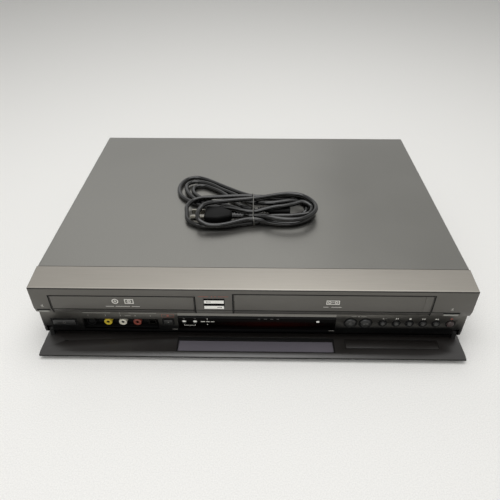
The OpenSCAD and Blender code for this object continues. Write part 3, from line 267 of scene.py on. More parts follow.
# ---- Mains plug ----
# A flat two-blade plug, its PVC body moulded in one piece round the blades and the cord.
# The body swells from a ribbed sleeve to a broad grip; the blades are nickel-plated brass.
plug_l, plug_wide, plug_narrow, plug_tall = 0.030, 0.0225, 0.0105, 0.0115
widest_at, tail_height, plug_round = 0.45, 0.8, 0.0024
sleeve_l, sleeve_r, sleeve_tip, sleeve_ribs, rib_deep = 0.013, 0.0044, 0.0029, 4, 0.0007
blade_l, blade_w, blade_t, blade_apart, blade_round = 0.0155, 0.00635, 0.0015, 0.0127, 0.0004
blade_root = 0.001
plug_pose = (Matrix.Translation((-0.024, -0.0455, 0.0884))
             @ Matrix.Rotation(math.radians(178), 4, "Z"))
towards_cord = Matrix.Rotation(math.radians(-90), 4, "Y")


def box_of(shape, x, y, z):
    """Adds a block to a bmesh, each side a pair of limits in metres. Returns its vertices."""
    spans = (x, y, z)
    size = Matrix.Diagonal([high - low for low, high in spans]).to_4x4()
    middle = Matrix.Translation([(low + high) / 2 for low, high in spans])
    return bmesh.ops.create_cube(shape, size=1, matrix=middle @ size)["verts"]


def round_edges(shape, edges, width, segments=3):
    """Rounds these edges of a bmesh."""
    bmesh.ops.bevel(shape, geom=list(edges), offset=width, offset_type="OFFSET",
                    affect="EDGES", segments=segments, profile=0.5, material=-1,
                    clamp_overlap=True)


def cut_across(shape, place, normal):
    """Cuts the faces of a bmesh along a plane, and keeps both sides."""
    bmesh.ops.bisect_plane(shape, geom=shape.verts[:] + shape.edges[:] + shape.faces[:],
                           plane_co=place, plane_no=normal)


def lathe(shape, profile, pose, steps=32):
    """Spins a profile of (radius, height) points about its axis into a closed solid."""
    points = [shape.verts.new((radius, 0, height)) for radius, height in profile]
    edges = [shape.edges.new(pair) for pair in zip(points, points[1:])]
    bmesh.ops.spin(shape, geom=points + edges, cent=(0, 0, 0), axis=(0, 0, 1),
                   angle=math.tau, steps=steps, use_merge=True)
    whole, more = set(), set(points)
    while more:
        whole |= more
        more = {e.other_vert(v) for v in more for e in v.link_edges} - whole
    faces = {f for v in whole for f in v.link_faces}
    bmesh.ops.recalc_face_normals(shape, faces=list(faces))
    bmesh.ops.transform(shape, matrix=pose, verts=list(whole))
    bmesh.ops.remove_doubles(shape, verts=list(whole), dist=1e-6)


def ribbed(body_r, end_r, length, ribs):
    """The profile of a cord sleeve with grooves cut round it, from its body to its tip."""
    profile = [(0, 0), (body_r, 0)]
    for k in range(ribs):
        for share, deep in ((0.15, 0), (0.3, rib_deep), (0.7, rib_deep), (0.85, 0)):
            along = (k + share) / ribs
            profile.append((body_r + (end_r - body_r) * along - deep, length * along))
    return profile + [(end_r, length), (0, length)]


shape = bmesh.new()
box_of(shape, (0, plug_l), (-plug_wide / 2, plug_wide / 2), (-plug_tall / 2, plug_tall / 2))
cut_across(shape, (plug_l * widest_at, 0, 0), (1, 0, 0))
for v in shape.verts:
    if v.co.x < 0.001:
        v.co.y *= plug_narrow / plug_wide
        v.co.z *= tail_height
round_edges(shape, shape.edges, plug_round)
lathe(shape, ribbed(sleeve_r, sleeve_tip, sleeve_l, sleeve_ribs), towards_cord, steps=24)
shape.transform(plug_pose)
# Vinyl, moulded: the mould gives the grip a fine matt texture, so it is duller than the cord.
# The sleeve behind it comes from a polished part of the mould, and shines as the cord does.
plug_vinyl = grained("matt_moulded_vinyl", "#050505", "#080808", 0.5, (0.42, 0.52),
                     lift_mm=0.02, IOR=1.2)
plug = piece("plug_body", shape, plug_vinyl, "lead", ["mains_plug"])
plug.data.materials.append(cord_vinyl)
for face in plug.data.polygons:
    face.material_index = int((plug_pose.inverted() @ face.center).x < -0.0005)

# Nickel-plated brass, drawn: pale and slightly warm, with fine lines that blur its shine.
nickel = grained("nickel_plated_brass", "#8f8c83", "#a9a69c", 0.4, (0.24, 0.36),
                 lift_mm=0.004, Metallic=1.0)
shape = bmesh.new()
for side in (-1, 1):
    y = side * blade_apart / 2
    verts = box_of(shape, (plug_l - blade_root, plug_l + blade_l),
                   (y - blade_t / 2, y + blade_t / 2), (-blade_w / 2, blade_w / 2))
    round_edges(shape, {e for v in verts for e in v.link_edges}, blade_round, 2)
shape.transform(plug_pose)
blades = piece("plug_blades", shape, nickel, "lead", ["mains_plug"])


# ---- Lead connector ----
# The detachable end: a slim PVC moulding with a figure-of-eight nose and two contact holes.
# It is moulded round the cord as the plug is, and is as matt.
connector_l, connector_w, connector_h = 0.0236, 0.0146, 0.0086
side_round, nose_rim, nose_sunk, tail_round, long_edge = 0.0036, 0.0009, 0.0006, 0.0012, 0.01
connector_sleeve_r, contact_hole_r, contact_holes_apart = 0.0041, 0.0014, 0.0086
hole_proud = 0.00003
connector_pose = Matrix.Translation((0.0182, -0.029, 0.0862))

shape = bmesh.new()
verts = box_of(shape, (0, connector_l), (-connector_w / 2, connector_w / 2),
               (-connector_h / 2, connector_h / 2))
lengthwise = {e for v in verts for e in v.link_edges
              if abs((e.verts[0].co - e.verts[1].co).x) > long_edge}
round_edges(shape, lengthwise, side_round, 5)
nose = [f for f in shape.faces if f.normal.x > 0.9]
bmesh.ops.inset_region(shape, faces=nose, thickness=nose_rim, depth=0)
for f in nose:
    for v in f.verts:
        v.co.x -= nose_sunk
round_edges(shape, [e for e in shape.edges if all(v.co.x < 1e-6 for v in e.verts)],
            tail_round, 2)
lathe(shape, ribbed(connector_sleeve_r, sleeve_tip, sleeve_l, sleeve_ribs), towards_cord,
      steps=24)
shape.transform(connector_pose)
connector = piece("connector_body", shape, plug_vinyl, "lead", ["lead_connector"])
shape = bmesh.new()
for side in (-1, 1):
    mouth = Matrix.Translation((connector_l + hole_proud, side * contact_holes_apart / 2, 0))
    bmesh.ops.create_circle(shape, cap_ends=True, radius=contact_hole_r, segments=16,
                            matrix=connector_pose @ mouth
                            @ Matrix.Rotation(math.pi / 2, 4, "Y"))
# The holes are deep and unlit: a dead black disc in each mouth is painted shade.
hole_painted_shade = grained("dark_contact_hole", "#050505", "#080808", 0.5, (0.6, 0.7))
holes = piece("connector_holes", shape, hole_painted_shade, "lead", ["lead_connector"])


# ---- Wire tie ----
# Bare aluminium binding wire bent over the waist of the hank and tucked under it at both
# ends; it stays thin and bright across the black cord.
tie_r = 0.00045
tie_line = [(0.001, -0.0575, 0.0822), (0.001, -0.0573, 0.0889), (0, -0.0540, 0.0922),
            (0, -0.0465, 0.0931), (0, -0.0315, 0.0959), (0, -0.0165, 0.0967),
            (-0.001, -0.0055, 0.0932), (-0.001, 0.0020, 0.0889), (-0.001, 0.0060, 0.0849),
            (-0.001, 0.0065, 0.0822)]
tie_wire = grained("bare_binding_wire", "#6c6b67", "#84837e", 0.3, (0.2, 0.3),
                   lift_mm=0.01, Metallic=1.0)
wire_tie = drawn_round("wire_tie", [Vector(p) for p in tie_line], tie_r, tie_wire,
                       "cord_tie", between=6)


# ---- Cover ----
# Folded sheet steel, sprayed with satin dark paint and baked; screws hold it at the sides
# and back. The paint has a fine orange peel, and catches the light in a broad soft sheen.
cover_paint = grained("satin_baked_paint", "#757470", "#7c7b77", 1.1, (0.33, 0.38),
                      lift_mm=0.001, patch_mm=90, Metallic=0.94)


def dress(material, *nodes):
    """Gives CAD nodes a finish, on the slots that they came with."""
    for name in nodes:
        slots = frame["nodes"][name].material_slots
        for slot in slots:
            slot.material = material
        if not slots:
            frame["nodes"][name].data.materials.append(material)


dress(cover_paint, "top_cover")


# ---- Front panel and doors ----
# Injection-moulded ABS, sprayed in a dark metallic lacquer: the metal flakes in it look paler
# from above. Towards the foot of the panel, where the flap closes over it, a painted shade
# darkens it to near black.
# The tray door and the sprung cassette door are lacquered with it, so they match.
panel_round, door_round = 0.0003, 0.00025
panel_low, panel_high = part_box("front_bezel")
front_y = panel_low.y
shade_black_z, shade_end_z, crease_z = 0.0225, 0.043, 0.0448


def rounded(node, width, material, angle=30, segments=2):
    """A copy of a CAD node with its sharp edges rounded, which stands for it."""
    source = frame["nodes"][node]
    shape = bmesh.new()
    shape.from_mesh(source.data)
    bmesh.ops.remove_doubles(shape, verts=shape.verts, dist=1e-6)
    bmesh.ops.dissolve_limit(shape, angle_limit=math.radians(0.5), verts=shape.verts,
                             edges=shape.edges)
    sharp = [e for e in shape.edges
             if e.is_manifold and e.calc_face_angle() > math.radians(angle)]
    round_edges(shape, sharp, width, segments)
    return piece(node + "_finished", shape, material, source["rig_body"], [node],
                 smooth=angle)


lacquer_and_foot_shade, tree, shader = surface("dark_lacquer_and_painted_shade", Metallic=0.8)
place = add(tree, "TexCoord").outputs["Object"]
height = add(tree, "SeparateXYZ", {}, {"Vector": place}).outputs["Z"]
flakes = add(tree, "TexNoise", {"Scale": 1000 / 0.8, "Detail": 2}, {"Vector": place})
clouds = add(tree, "TexNoise", {"Scale": 1000 / 60, "Detail": 2}, {"Vector": place})
upper = add(tree, "Mix", {"data_type": "RGBA", 6: linear("#605e5a"), 7: linear("#666460")},
            {0: clouds.outputs["Fac"]})
# Painted shade: below the fold the lacquer darkens to near black at the foot of the panel.
foot = add(tree, "MapRange", {"From Min": shade_black_z, "From Max": shade_end_z}, {"Value": height})
lower = add(tree, "Mix", {"data_type": "RGBA", 6: linear("#0c0c0c"), 7: linear("#66645f")},
            {0: foot.outputs["Result"]})
crease = add(tree, "Math", {"operation": "GREATER_THAN", 1: crease_z}, {0: height})
tones = add(tree, "Mix", {"data_type": "RGBA"},
            {0: crease.outputs["Value"], 6: lower.outputs[2], 7: upper.outputs[2]})
gloss = add(tree, "MapRange", {"To Min": 0.28, "To Max": 0.46},
            {"Value": crease.outputs["Value"]})
relief = add(tree, "Bump", {"Distance": 0.000003}, {"Height": flakes.outputs["Fac"]})
tree.links.new(tones.outputs[2], shader.inputs["Base Color"])
tree.links.new(gloss.outputs["Result"], shader.inputs["Roughness"])
tree.links.new(relief.outputs["Normal"], shader.inputs["Normal"])
rounded("front_bezel", panel_round, lacquer_and_foot_shade)
rounded("tray_door", panel_round, lacquer_and_foot_shade)
rounded("cassette_door", door_round, lacquer_and_foot_shade)


# ---- Brushed band ----
# The sloping top of the panel: over the lacquer, a paler and warmer metallic coat that was
# brushed from side to side, so it looks like fine-grained aluminium beside the dark cover. Its
# paler tone is partly a painted sheen, for the light that the upward slope catches.
# A painted highlight brightens its front edge into a thin bright rim.
band_deep, band_rise, band_inset, coat_sunk = 0.0298, 0.0026, 0.0002, -0.0003
coat = ((0.0007, coat_sunk), (0.0007, 0.00002), (0.0009, 0.00004), (0.0297, 0.00003),
        (0.0297, coat_sunk))    # how far back, and how far above the moulding
rim_back, rim_front, rim_highlight_gain = 0.0022, 0.001, 1.3

band_coat_and_sheen, tree, shader = surface("brushed_coat_and_painted_sheen", Metallic=0.75)
place = add(tree, "TexCoord").outputs["Object"]
# Brush marks are some hundredths of a millimetre apart, and are drawn 0.9 mm apart to show.
across = add(tree, "Mapping", {"Scale": (1000 / 40, 1000 / 0.9, 1000 / 0.9)},
             {"Vector": place})
brushed = add(tree, "TexNoise", {"Scale": 1, "Detail": 3},
              {"Vector": across.outputs["Vector"]})
flakes = add(tree, "TexNoise", {"Scale": 1000 / 1.1, "Detail": 1}, {"Vector": place})
# These paler tones are partly painted sheen.
tones = add(tree, "Mix", {"data_type": "RGBA", 6: linear("#827e77"), 7: linear("#8e8a83")},
            {0: brushed.outputs["Fac"]})
depth = add(tree, "SeparateXYZ", {}, {"Vector": place}).outputs["Y"]
# Painted highlight: the coat's tone is raised towards its front edge.
rim = add(tree, "MapRange", {"From Min": front_y + rim_back, "From Max": front_y + rim_front,
                             "To Min": 1, "To Max": rim_highlight_gain}, {"Value": depth})
with_rim_highlight = add(tree, "VectorMath", {"operation": "SCALE"},
            {0: tones.outputs[2], "Scale": rim.outputs["Result"]})
gloss = add(tree, "MapRange", {"To Min": 0.36, "To Max": 0.5},
            {"Value": brushed.outputs["Fac"]})
relief = add(tree, "Bump", {"Distance": 0.000006}, {"Height": flakes.outputs["Fac"]})
tree.links.new(with_rim_highlight.outputs["Vector"], shader.inputs["Base Color"])
tree.links.new(gloss.outputs["Result"], shader.inputs["Roughness"])
tree.links.new(relief.outputs["Normal"], shader.inputs["Normal"])
shape = bmesh.new()
profile = [(y, y * band_rise / band_deep + lift) for y, lift in coat]
edge_z = panel_high.z - band_rise
band_end = shape.faces.new([shape.verts.new((panel_low.x + band_inset, front_y + y, edge_z + z))
                            for y, z in profile])
grown = bmesh.ops.extrude_face_region(shape, geom=[band_end])
bmesh.ops.translate(shape, vec=(panel_high.x - panel_low.x - 2 * band_inset, 0, 0),
                    verts=[v for v in grown["geom"] if isinstance(v, bmesh.types.BMVert)])
bmesh.ops.recalc_face_normals(shape, faces=shape.faces)
piece("brushed_band", shape, band_coat_and_sheen, "casing", smooth=50)


# ---- Flap ----
# A thin ABS moulding, darker and browner than the panel, on two pinned ears. Its pane of
# tinted polycarbonate lets the display show through when the flap is shut.
flap_round, plate_top, faces_front = 0.0003, 0.0078, -0.7
flap_inside = 0.0073
# Lacquer on ABS, sprayed: smooth and satin, a very dark brown.
flap_lacquer = grained("flap_lacquer", "#181513", "#1c1917", 0.8, (0.36, 0.42),
                       lift_mm=0.003, IOR=1.66)
flap = rounded("front_flap", flap_round, flap_lacquer)
# Painted shade: the ears, in the panel's shade by the hinge, and the flap's front edge, in its
# own shadow, are made matt and black.
flap_shade_black = grained("flap_painted_shade_black", "#060606", "#0a0a0a", 0.6, (0.5, 0.6),
                    lift_mm=0.004, IOR=1.3)
flap.data.materials.append(flap_shade_black)
for face in flap.data.polygons:
    face.material_index = int(face.center.z > plate_top or face.normal.y < faces_front)
# Polycarbonate, moulded and tinted in the mass: glossy, with a violet cast. It is made nearly
# opaque, and its grey tone is a painted view of the floor in shade beneath, seen through it.
pane_painted_view = grained("pane_polycarbonate_painted_view", "#6a666e", "#726e75", 0.8, (0.12, 0.2),
                    lift_mm=0.002, IOR=1.585, Alpha=0.86)
dress(pane_painted_view, "flap_window")
# Painted shade: a matt black laid into grooves, running gaps and holes, which are too deep to
# reflect anything.
gap_painted_shade = grained("painted_gap_shade_black", "#040404", "#070707", 0.5, (0.7, 0.8),
                    lift_mm=0.004, IOR=1.3)


def flap_lines(name, top, spans):
    """Lines of painted shade on the inside of the flap: spans across and back from the front, in
    millimetres.
    """
    shape = bmesh.new()
    for x, y in spans:
        box_of(shape, [v / 1000 for v in x], [front_y + v / 1000 for v in y],
               (flap_inside, top))
    piece(name, shape, gap_painted_shade, "flap")


# Painted shade round the pane, and along the flap's moulded lines.
flap_lines("pane_surround", 0.00735, [
    ((-77.0, 84.8), (1.3, 5.0)), ((-77.0, -75.6), (-13.6, 1.3)), ((83.4, 84.8), (-13.6, 1.3)),
    ((-77.0, 84.8), (-14.2, -13.6))])
flap_lines("flap_moulding_lines", 0.00733, [
    ((96.2, 191.5), (3.6, 4.0)), ((96.2, 191.5), (-8.0, -7.6)), ((96.2, 96.6), (-7.6, 3.6)),
    ((191.1, 191.5), (-7.6, 3.6)), ((-194.4, -190.4), (-1.9, -0.9)),
    ((-170.0, 186.0), (8.6, 8.9))])


# ---- Display ----
# A smoked acrylic window over the display tube, moulded and polished. It is black but for the
# tube's filter, which shows as a dull red band along the middle. The sloping lip over the window
# is painted in light and shade: black below as painted shade, pale above as a painted highlight.
glow_x, glow_z, glow_wide, glow_high = 0.02, 0.0285, 0.06, 0.0055
window_low, window_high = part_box("display_window")
lip_foot = Vector((0, window_low.y, window_high.z + 0.0007))
lip_head = Vector((0, window_low.y + 0.0017, window_high.z + 0.0052))
coat_thick = 0.00004

smoked, tree, shader = surface("smoked_acrylic", IOR=1.12, Roughness=0.12)
place = add(tree, "TexCoord").outputs["Object"]
middle = add(tree, "Mapping", {"Location": (-glow_x / glow_wide, 0, -glow_z / glow_high),
                               "Scale": (1 / glow_wide, 0, 1 / glow_high)}, {"Vector": place})
glow = add(tree, "TexGradient", {"gradient_type": "SPHERICAL"},
           {"Vector": middle.outputs["Vector"]})
tint = add(tree, "Mix", {"data_type": "RGBA", 6: linear("#020101"), 7: linear("#1c0302")},
           {0: glow.outputs["Fac"]})
wave = add(tree, "TexNoise", {"Scale": 1000 / 9}, {"Vector": place})
relief = add(tree, "Bump", {"Distance": 0.00001}, {"Height": wave.outputs["Fac"]})
tree.links.new(tint.outputs[2], shader.inputs["Base Color"])
tree.links.new(relief.outputs["Normal"], shader.inputs["Normal"])
dress(smoked, "display_window")


def lip_plate(name, material, start, end):
    """A thin coat on part of the sloping lip, between two shares of the lip's height."""
    shape = bmesh.new()
    verts = box_of(shape, (window_low.x, window_high.x), (0, coat_thick), (0, 1))
    for v in verts:
        share = start if v.co.z < 0.5 else end
        v.co = Vector((v.co.x, -v.co.y, 0)) + lip_foot.lerp(lip_head, share)
    bmesh.ops.recalc_face_normals(shape, faces=shape.faces)
    piece(name, shape, material, "casing")


# A painted highlight on the lip's upper part, which faces the light: pale, satin and slightly
# grainy.
lip_painted_highlight = grained("lip_painted_highlight_coat", "#74726d", "#7f7d78", 0.8, (0.4, 0.5),
                     lift_mm=0.004, Metallic=0.7)
# The lower part of the lip is painted shade, in black.
lip_plate("display_lip_shade", gap_painted_shade, -0.14, 0.43)
lip_plate("display_lip_highlight", lip_painted_highlight, 0.43, 0.99)
# Glass, drawn and sealed: smooth and glossy, with the blue-green cast of its filter.
tube_glass = grained("display_tube_glass", "#10201f", "#162a28", 1.0, (0.1, 0.2))
dress(tube_glass, "display_tube")


# ---- Socket bay ----
# A black moulded bay that frames the front sockets: one round four-pin video socket, three
# phono sockets in coloured ABS with sprung contacts, and a digital video socket.
slot_of = {row["node"]: row["material_slot"] for row in frame["record"]["subparts"]}
socket_round = 0.0006
bore_r, contact_r, contact_l, contact_back = 0.00105, 0.00162, 0.0045, 0.0008
# ABS, moulded: black, with the fine even texture of the mould.
black_abs = grained("black_abs", "#070707", "#0c0c0c", 0.6, (0.42, 0.55), lift_mm=0.01,
                    IOR=1.4)
# The same ABS inside the bay, rougher, and darker: a painted shade for the panel's own shadow.
bay_painted_shade = grained("bay_abs_painted_shade", "#020202", "#040404", 0.6, (0.6, 0.7), lift_mm=0.01,
                  IOR=1.3)
# A dark metal with a dull shine: painted shade, for contacts deep in their sockets' shadow.
contact_painted_shade = grained("contact_shell_painted_shade", "#2b2a28", "#353330", 0.6, (0.3, 0.4),
                       Metallic=1.0)
dress(bay_painted_shade, "jack_bay", "svideo_jack")
dress(contact_painted_shade, "dv_jack")
# ABS coloured in the mass, moulded in a polished mould: smooth and fairly glossy.
for node, dark, light in (("video_jack", "#cfb52c", "#dcc33c"),
                          ("audio_left_jack", "#dedac8", "#ebe7d6"),
                          ("audio_right_jack", "#823d31", "#924a3c")):
    tint = grained(node + "_abs", dark, light, 0.6, (0.25, 0.35), lift_mm=0.005)
    rounded(node, socket_round, tint, segments=3)
    low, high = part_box(node)
    mouth = Matrix.Translation(((low.x + high.x) / 2, low.y + contact_back,
                                (low.z + high.z) / 2))
    shape = bmesh.new()
    lathe(shape, [(bore_r, 0), (bore_r, contact_l), (contact_r, contact_l), (contact_r, 0),
                  (bore_r, 0)], mouth @ Matrix.Rotation(math.radians(-90), 4, "X"), steps=24)
    piece(node.replace("_jack", "_contact"), shape, contact_painted_shade, "casing")


# ---- Buttons ----
# Keys of ABS that slide in their holes on moulded stems: dark like the panel, silver for the
# tray and eject keys, black for dubbing, white for the channels, and reddish for tape record.
# The transport keys are black as painted shade, for caps sunk in their holes' shadow, and the
# lower part of the channel keys is black as painted shade.
key_round, shade_split = 0.0003, 0.0011
small_keys = ("pause", "play", "stop", "rewind", "forward")
# Lacquered ABS: satin, in each key's tone, with a trace of the mould's grain.
key_abs = grained("dark_key_abs", "#191918", "#1e1e1d", 0.6, (0.3, 0.4), lift_mm=0.006)
silver_abs = grained("silver_sprayed_abs", "#85857f", "#94948e", 0.5, (0.3, 0.4),
                     lift_mm=0.006)
white_abs = grained("white_key_abs", "#f0efe8", "#f8f7f1", 0.6, (0.3, 0.4), lift_mm=0.005)
record_abs = grained("record_key_abs", "#342725", "#3b2d2b", 0.6, (0.3, 0.4), lift_mm=0.006)
key_finish = {"silver_plastic": silver_abs, "lit_white_plastic": white_abs,
              "record_plastic": record_abs}
keys = {}
for node in frame["nodes"]:
    if node.endswith("_button"):
        # Transport keys are black as painted shade, for caps sunk in their holes' shadow; the
        # dubbing bars are black in fact.
        black = node.startswith(("dub_to", *small_keys))
        tint = black_abs if black else key_finish.get(slot_of[node], key_abs)
        keys[node] = rounded(node, key_round, tint)
# The lower part of the channel keys' caps is painted shade, in black; only the upper part, which
# catches the light, is white.
for node in ("channel_down_button", "channel_up_button"):
    low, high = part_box(node)
    shade_line_z = (low.z + high.z) / 2 + shade_split
    mesh = keys[node].data
    mesh.materials.append(black_abs)
    shape = bmesh.new()
    shape.from_mesh(mesh)
    cut_across(shape, (0, 0, shade_line_z), (0, 0, 1))
    for face in shape.faces:
        face.material_index = int(face.calc_center_median().z < shade_line_z)
    shape.to_mesh(mesh)
    shape.free()


# ---- Printed signs ----
# Pad-printed ink, a few hundredths of a millimetre thick: plain signs for disc, tape,
# transport and eject, hairlines that bracket groups of sockets, and numbers over them.
# The shadow in the running gaps round doors and keys is laid on in the same way.
panel_back, ink = 0.0061, 0.00005
panel_y, glass_y = front_y + panel_back, window_low.y
fold_z, fold_slope = 52.8, 2.4 / 7.6    # where the upper face starts to slope back, in mm
upright = Matrix.Rotation(math.radians(90), 4, "X")


def pad_ink(tone, dark, light, slot):
    """Pad-printing ink, stamped on and dried: flat, opaque and matt. Returned with its slot."""
    return grained(tone + "_pad_print", dark, light, 0.3, (0.4, 0.5), lift_mm=0.004), slot


white_ink = pad_ink("white", "#d9d7d0", "#e2e0d9", "lit_white_plastic")
red_ink = pad_ink("red", "#8c4a3c", "#965243", "red_plastic")
grey_ink = pad_ink("grey", "#a3a19b", "#afada7", "silver_plastic")
black_ink = pad_ink("black", "#1b1a19", "#242321", "black_plastic")
dim_ink = pad_ink("dim", "#5b5a57", "#646360", "silver_plastic")
gap_shade_finish = (gap_painted_shade, "black_plastic")
lit_abs = (white_abs, "lit_white_plastic")


def bar(shape, x, z, wide, high):
    box_of(shape, (x - wide / 2, x + wide / 2), (z - high / 2, z + high / 2), (0, 1))


def dot(shape, x, z, radius, steps=20, turn=0):
    place = Matrix.Translation((x, z, 0)) @ Matrix.Rotation(math.radians(turn), 4, "Z")
    made = bmesh.ops.create_circle(shape, cap_ends=True, radius=radius, segments=steps,
                                   matrix=place)
    faces = {f for v in made["verts"] for f in v.link_faces}
    grown = bmesh.ops.extrude_face_region(shape, geom=list(faces))
    bmesh.ops.translate(shape, vec=(0, 0, 1),
                        verts=[v for v in grown["geom"] if isinstance(v, bmesh.types.BMVert)])


def ring(shape, x, z, radius, line):
    inner = radius - line
    lathe(shape, [(inner, 0), (radius, 0), (radius, 1), (inner, 1), (inner, 0)],
          Matrix.Translation((x, z, 0)))


def frame_line(shape, x, z, wide, high, line):
    for side in (-1, 1):
        bar(shape, x, z + side * (high - line) / 2, wide, line)
        bar(shape, x + side * (wide - line) / 2, z, line, high - 2 * line)


def arrow(shape, x, z, size, turn):
    dot(shape, x, z, size, 3, turn)


def number(shape, x, z, high, text):
    """A plain figure, turned to a mesh before it is placed."""
    figure_share = 0.7    # how much of a font's size its figures fill
    curve = bpy.data.curves.new("figure", "FONT")
    curve.body = text
    curve.size = high / figure_share
    curve.align_x = curve.align_y = "CENTER"
    curve.extrude = 0.5
    curve.resolution_u = 3
    carrier = bpy.data.objects.new("figure", curve)
    flat = bpy.data.meshes.new_from_object(carrier)
    flat.transform(Matrix.Translation((x, z, 0.5)))
    shape.from_mesh(flat)
    bpy.data.objects.remove(carrier)
    bpy.data.curves.remove(curve)
    bpy.data.meshes.remove(flat)


def printed(name, body, finish, y, signs, thick=ink):
    """Signs drawn flat in millimetres, x across and z up, are stood on a front face at y.
    On the upper face, what lies under its fold follows the slope."""
    shape = bmesh.new()
    for draw, *sizes in signs:
        draw(shape, *sizes)
    bmesh.ops.recalc_face_normals(shape, faces=shape.faces)
    if y == front_y:
        cut_across(shape, (0, fold_z, 0), (0, 1, 0))
    flat = Matrix.Diagonal((0.001, 0.001, thick, 1))
    shape.transform(Matrix.Translation((0, y, 0)) @ upright @ flat)
    if y == front_y:
        for v in shape.verts:
            v.co.y += max(0, fold_z / 1000 - v.co.z) * fold_slope
    material, slot = finish
    piece(name, shape, material, body)


def outline(x, z, line):
    """A line just outside an opening whose limits are given in millimetres."""
    return (frame_line, sum(x) / 2, sum(z) / 2, x[1] - x[0] + 2 * line,
            z[1] - z[0] + 2 * line, line)


def door_gap(x, top, line=0.9, side=1.3):
    """The dark gap round a door: along its top and down both sides."""
    low = 45.3
    return [(bar, sum(x) / 2, top + line / 2, x[1] - x[0] + 2 * side, line),
            *[(bar, edge, (top + low) / 2, side, top - low)
              for edge in (x[0] - side / 2, x[1] + side / 2)]]


def centre(node):
    """The middle of a node across and up, in millimetres."""
    low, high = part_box(node)
    return (low.x + high.x) * 500, (low.z + high.z) * 500


def key_gap(node, past=0.4, line=1.0):
    """The dark gap round a round key."""
    low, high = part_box(node)
    return (ring, *centre(node), (high.x - low.x) * 500 + past, line)


printed("door_shadow_gaps", "casing", gap_shade_finish, front_y, [
    *door_gap((-196.7, -55.9), 69.0), *door_gap((-17.7, 174.5), 72.8),
    (bar, -206.2, 49.3, 13.6, 2.6), (bar, 195.9, 50.0, 16.4, 3.0),
    (bar, -37.0, 51.4, 37.0, 0.8), (bar, 181.0, 51.2, 13.0, 0.9), (bar, 0, 78.3, 429.4, 0.9)])
printed("key_shadow_gaps", "casing", gap_shade_finish, panel_y, [
    outline((-204.4, -180.4), (23.5, 30.7), 1.5), outline((-90.0, -80.4), (25.3, 32.1), 1.4),
    *[key_gap(name + "_button")
      for name in ("disc_select", "tape_select", *small_keys, "tape_record")]])
# Painted shade along the fold of the tray door and of the cassette door.
printed("tray_fold_shade", "tray", gap_shade_finish, front_y, [(bar, -126.3, 51.2, 140.0, 1.5)])
printed("cassette_door_fold_shade", "cassette_door", gap_shade_finish, front_y,
        [(bar, 78.4, 51.2, 191.4, 1.5)])
printed("tray_signs", "tray", white_ink, front_y, [
    (ring, -133.0, 62.6, 3.2, 0.9), (ring, -133.0, 62.6, 1.2, 0.6),
    (frame_line, -119.4, 62.6, 8.8, 6.0, 0.8), (ring, -119.4, 62.6, 2.0, 0.7),
    (dot, -119.4, 62.6, 0.7), (bar, -139.0, 55.9, 8.0, 0.45), (bar, -126.3, 55.9, 14.0, 0.45),
    (bar, -113.6, 55.9, 8.0, 0.45)])
printed("tape_signs", "cassette_door", white_ink, front_y, [
    (frame_line, 78.4, 63.7, 12.8, 5.4, 0.8), (ring, 75.2, 63.7, 1.6, 0.7),
    (ring, 81.6, 63.7, 1.6, 0.7), (bar, 78.4, 63.7, 2.4, 0.5), (bar, 72.0, 57.6, 5.0, 0.45),
    (bar, 82.2, 57.6, 10.0, 0.45)])
printed("upper_signs", "casing", grey_ink, front_y, [
    (arrow, -205.8, 56.2, 1.5, 90), (bar, -205.8, 54.4, 2.6, 0.5),
    (arrow, 194.7, 56.6, 1.5, 90), (bar, 194.7, 54.8, 2.6, 0.5)])
printed("dubbing_line", "casing", red_ink, front_y, [
    (bar, -46.9, 69.9, 10.0, 0.55), (bar, -27.5, 69.9, 10.0, 0.55),
    (arrow, -38.6, 69.9, 1.0, 0), (arrow, -35.4, 69.9, 1.0, 180)])
printed("socket_signs", "casing", grey_ink, panel_y, [
    (bar, -157.0, 40.6, 28.0, 0.4), (bar, -110.5, 40.6, 28.0, 0.4),
    (number, -133.8, 40.6, 2.0, "2"),
    *[(number, x, 36.9, 1.9, str(k + 1))
      for k, x in enumerate((-166.2, -148.7, -133.4, -118.3, -102.8))],
    (bar, -125.9, 36.9, 6.0, 0.4)])
printed("disc_record_sign", "casing", red_ink, panel_y, [
    (dot, -85.2, 37.4, 1.2), (frame_line, -85.2, 37.4, 12.6, 4.2, 0.35)])
printed("channel_signs", "casing", white_ink, glass_y, [
    (bar, -63.2, 25.7, 10.8, 0.45), (bar, -68.8, 26.3, 0.45, 1.4),
    (bar, -57.6, 26.3, 0.45, 1.4), (bar, -49.6, 31.2, 4.4, 0.9), (bar, -44.6, 31.2, 3.4, 0.9),
    (bar, -40.0, 31.2, 3.6, 0.9), (dot, -45.2, 35.0, 0.55), (dot, -45.2, 27.2, 0.55)])
printed("timer_lamp", "casing", lit_abs, glass_y, [(bar, 66.6, 32.5, 2.8, 2.2)])
printed("glass_signs", "casing", dim_ink, glass_y, [
    (bar, 7.1, 35.7, 2.4, 0.5), (bar, 13.7, 35.7, 3.4, 0.5), (bar, 20.0, 35.7, 3.0, 0.5),
    (bar, 26.2, 35.7, 2.4, 0.5), (bar, -68.7, 35.5, 2.0, 0.6), (bar, -57.7, 35.5, 2.0, 0.6),
    (bar, -57.7, 35.5, 0.6, 1.3)])
printed("panel_signs", "casing", grey_ink, panel_y, [
    (bar, 81.8, 17.9, 5.6, 0.5), (bar, -79.3, 17.9, 5.6, 0.4)])
printed("select_signs", "casing", grey_ink, panel_y, [
    (bar, 102.6, 38.9, 5.0, 0.4), (bar, 112.4, 38.9, 5.0, 0.4), (dot, 107.5, 38.9, 0.6)])
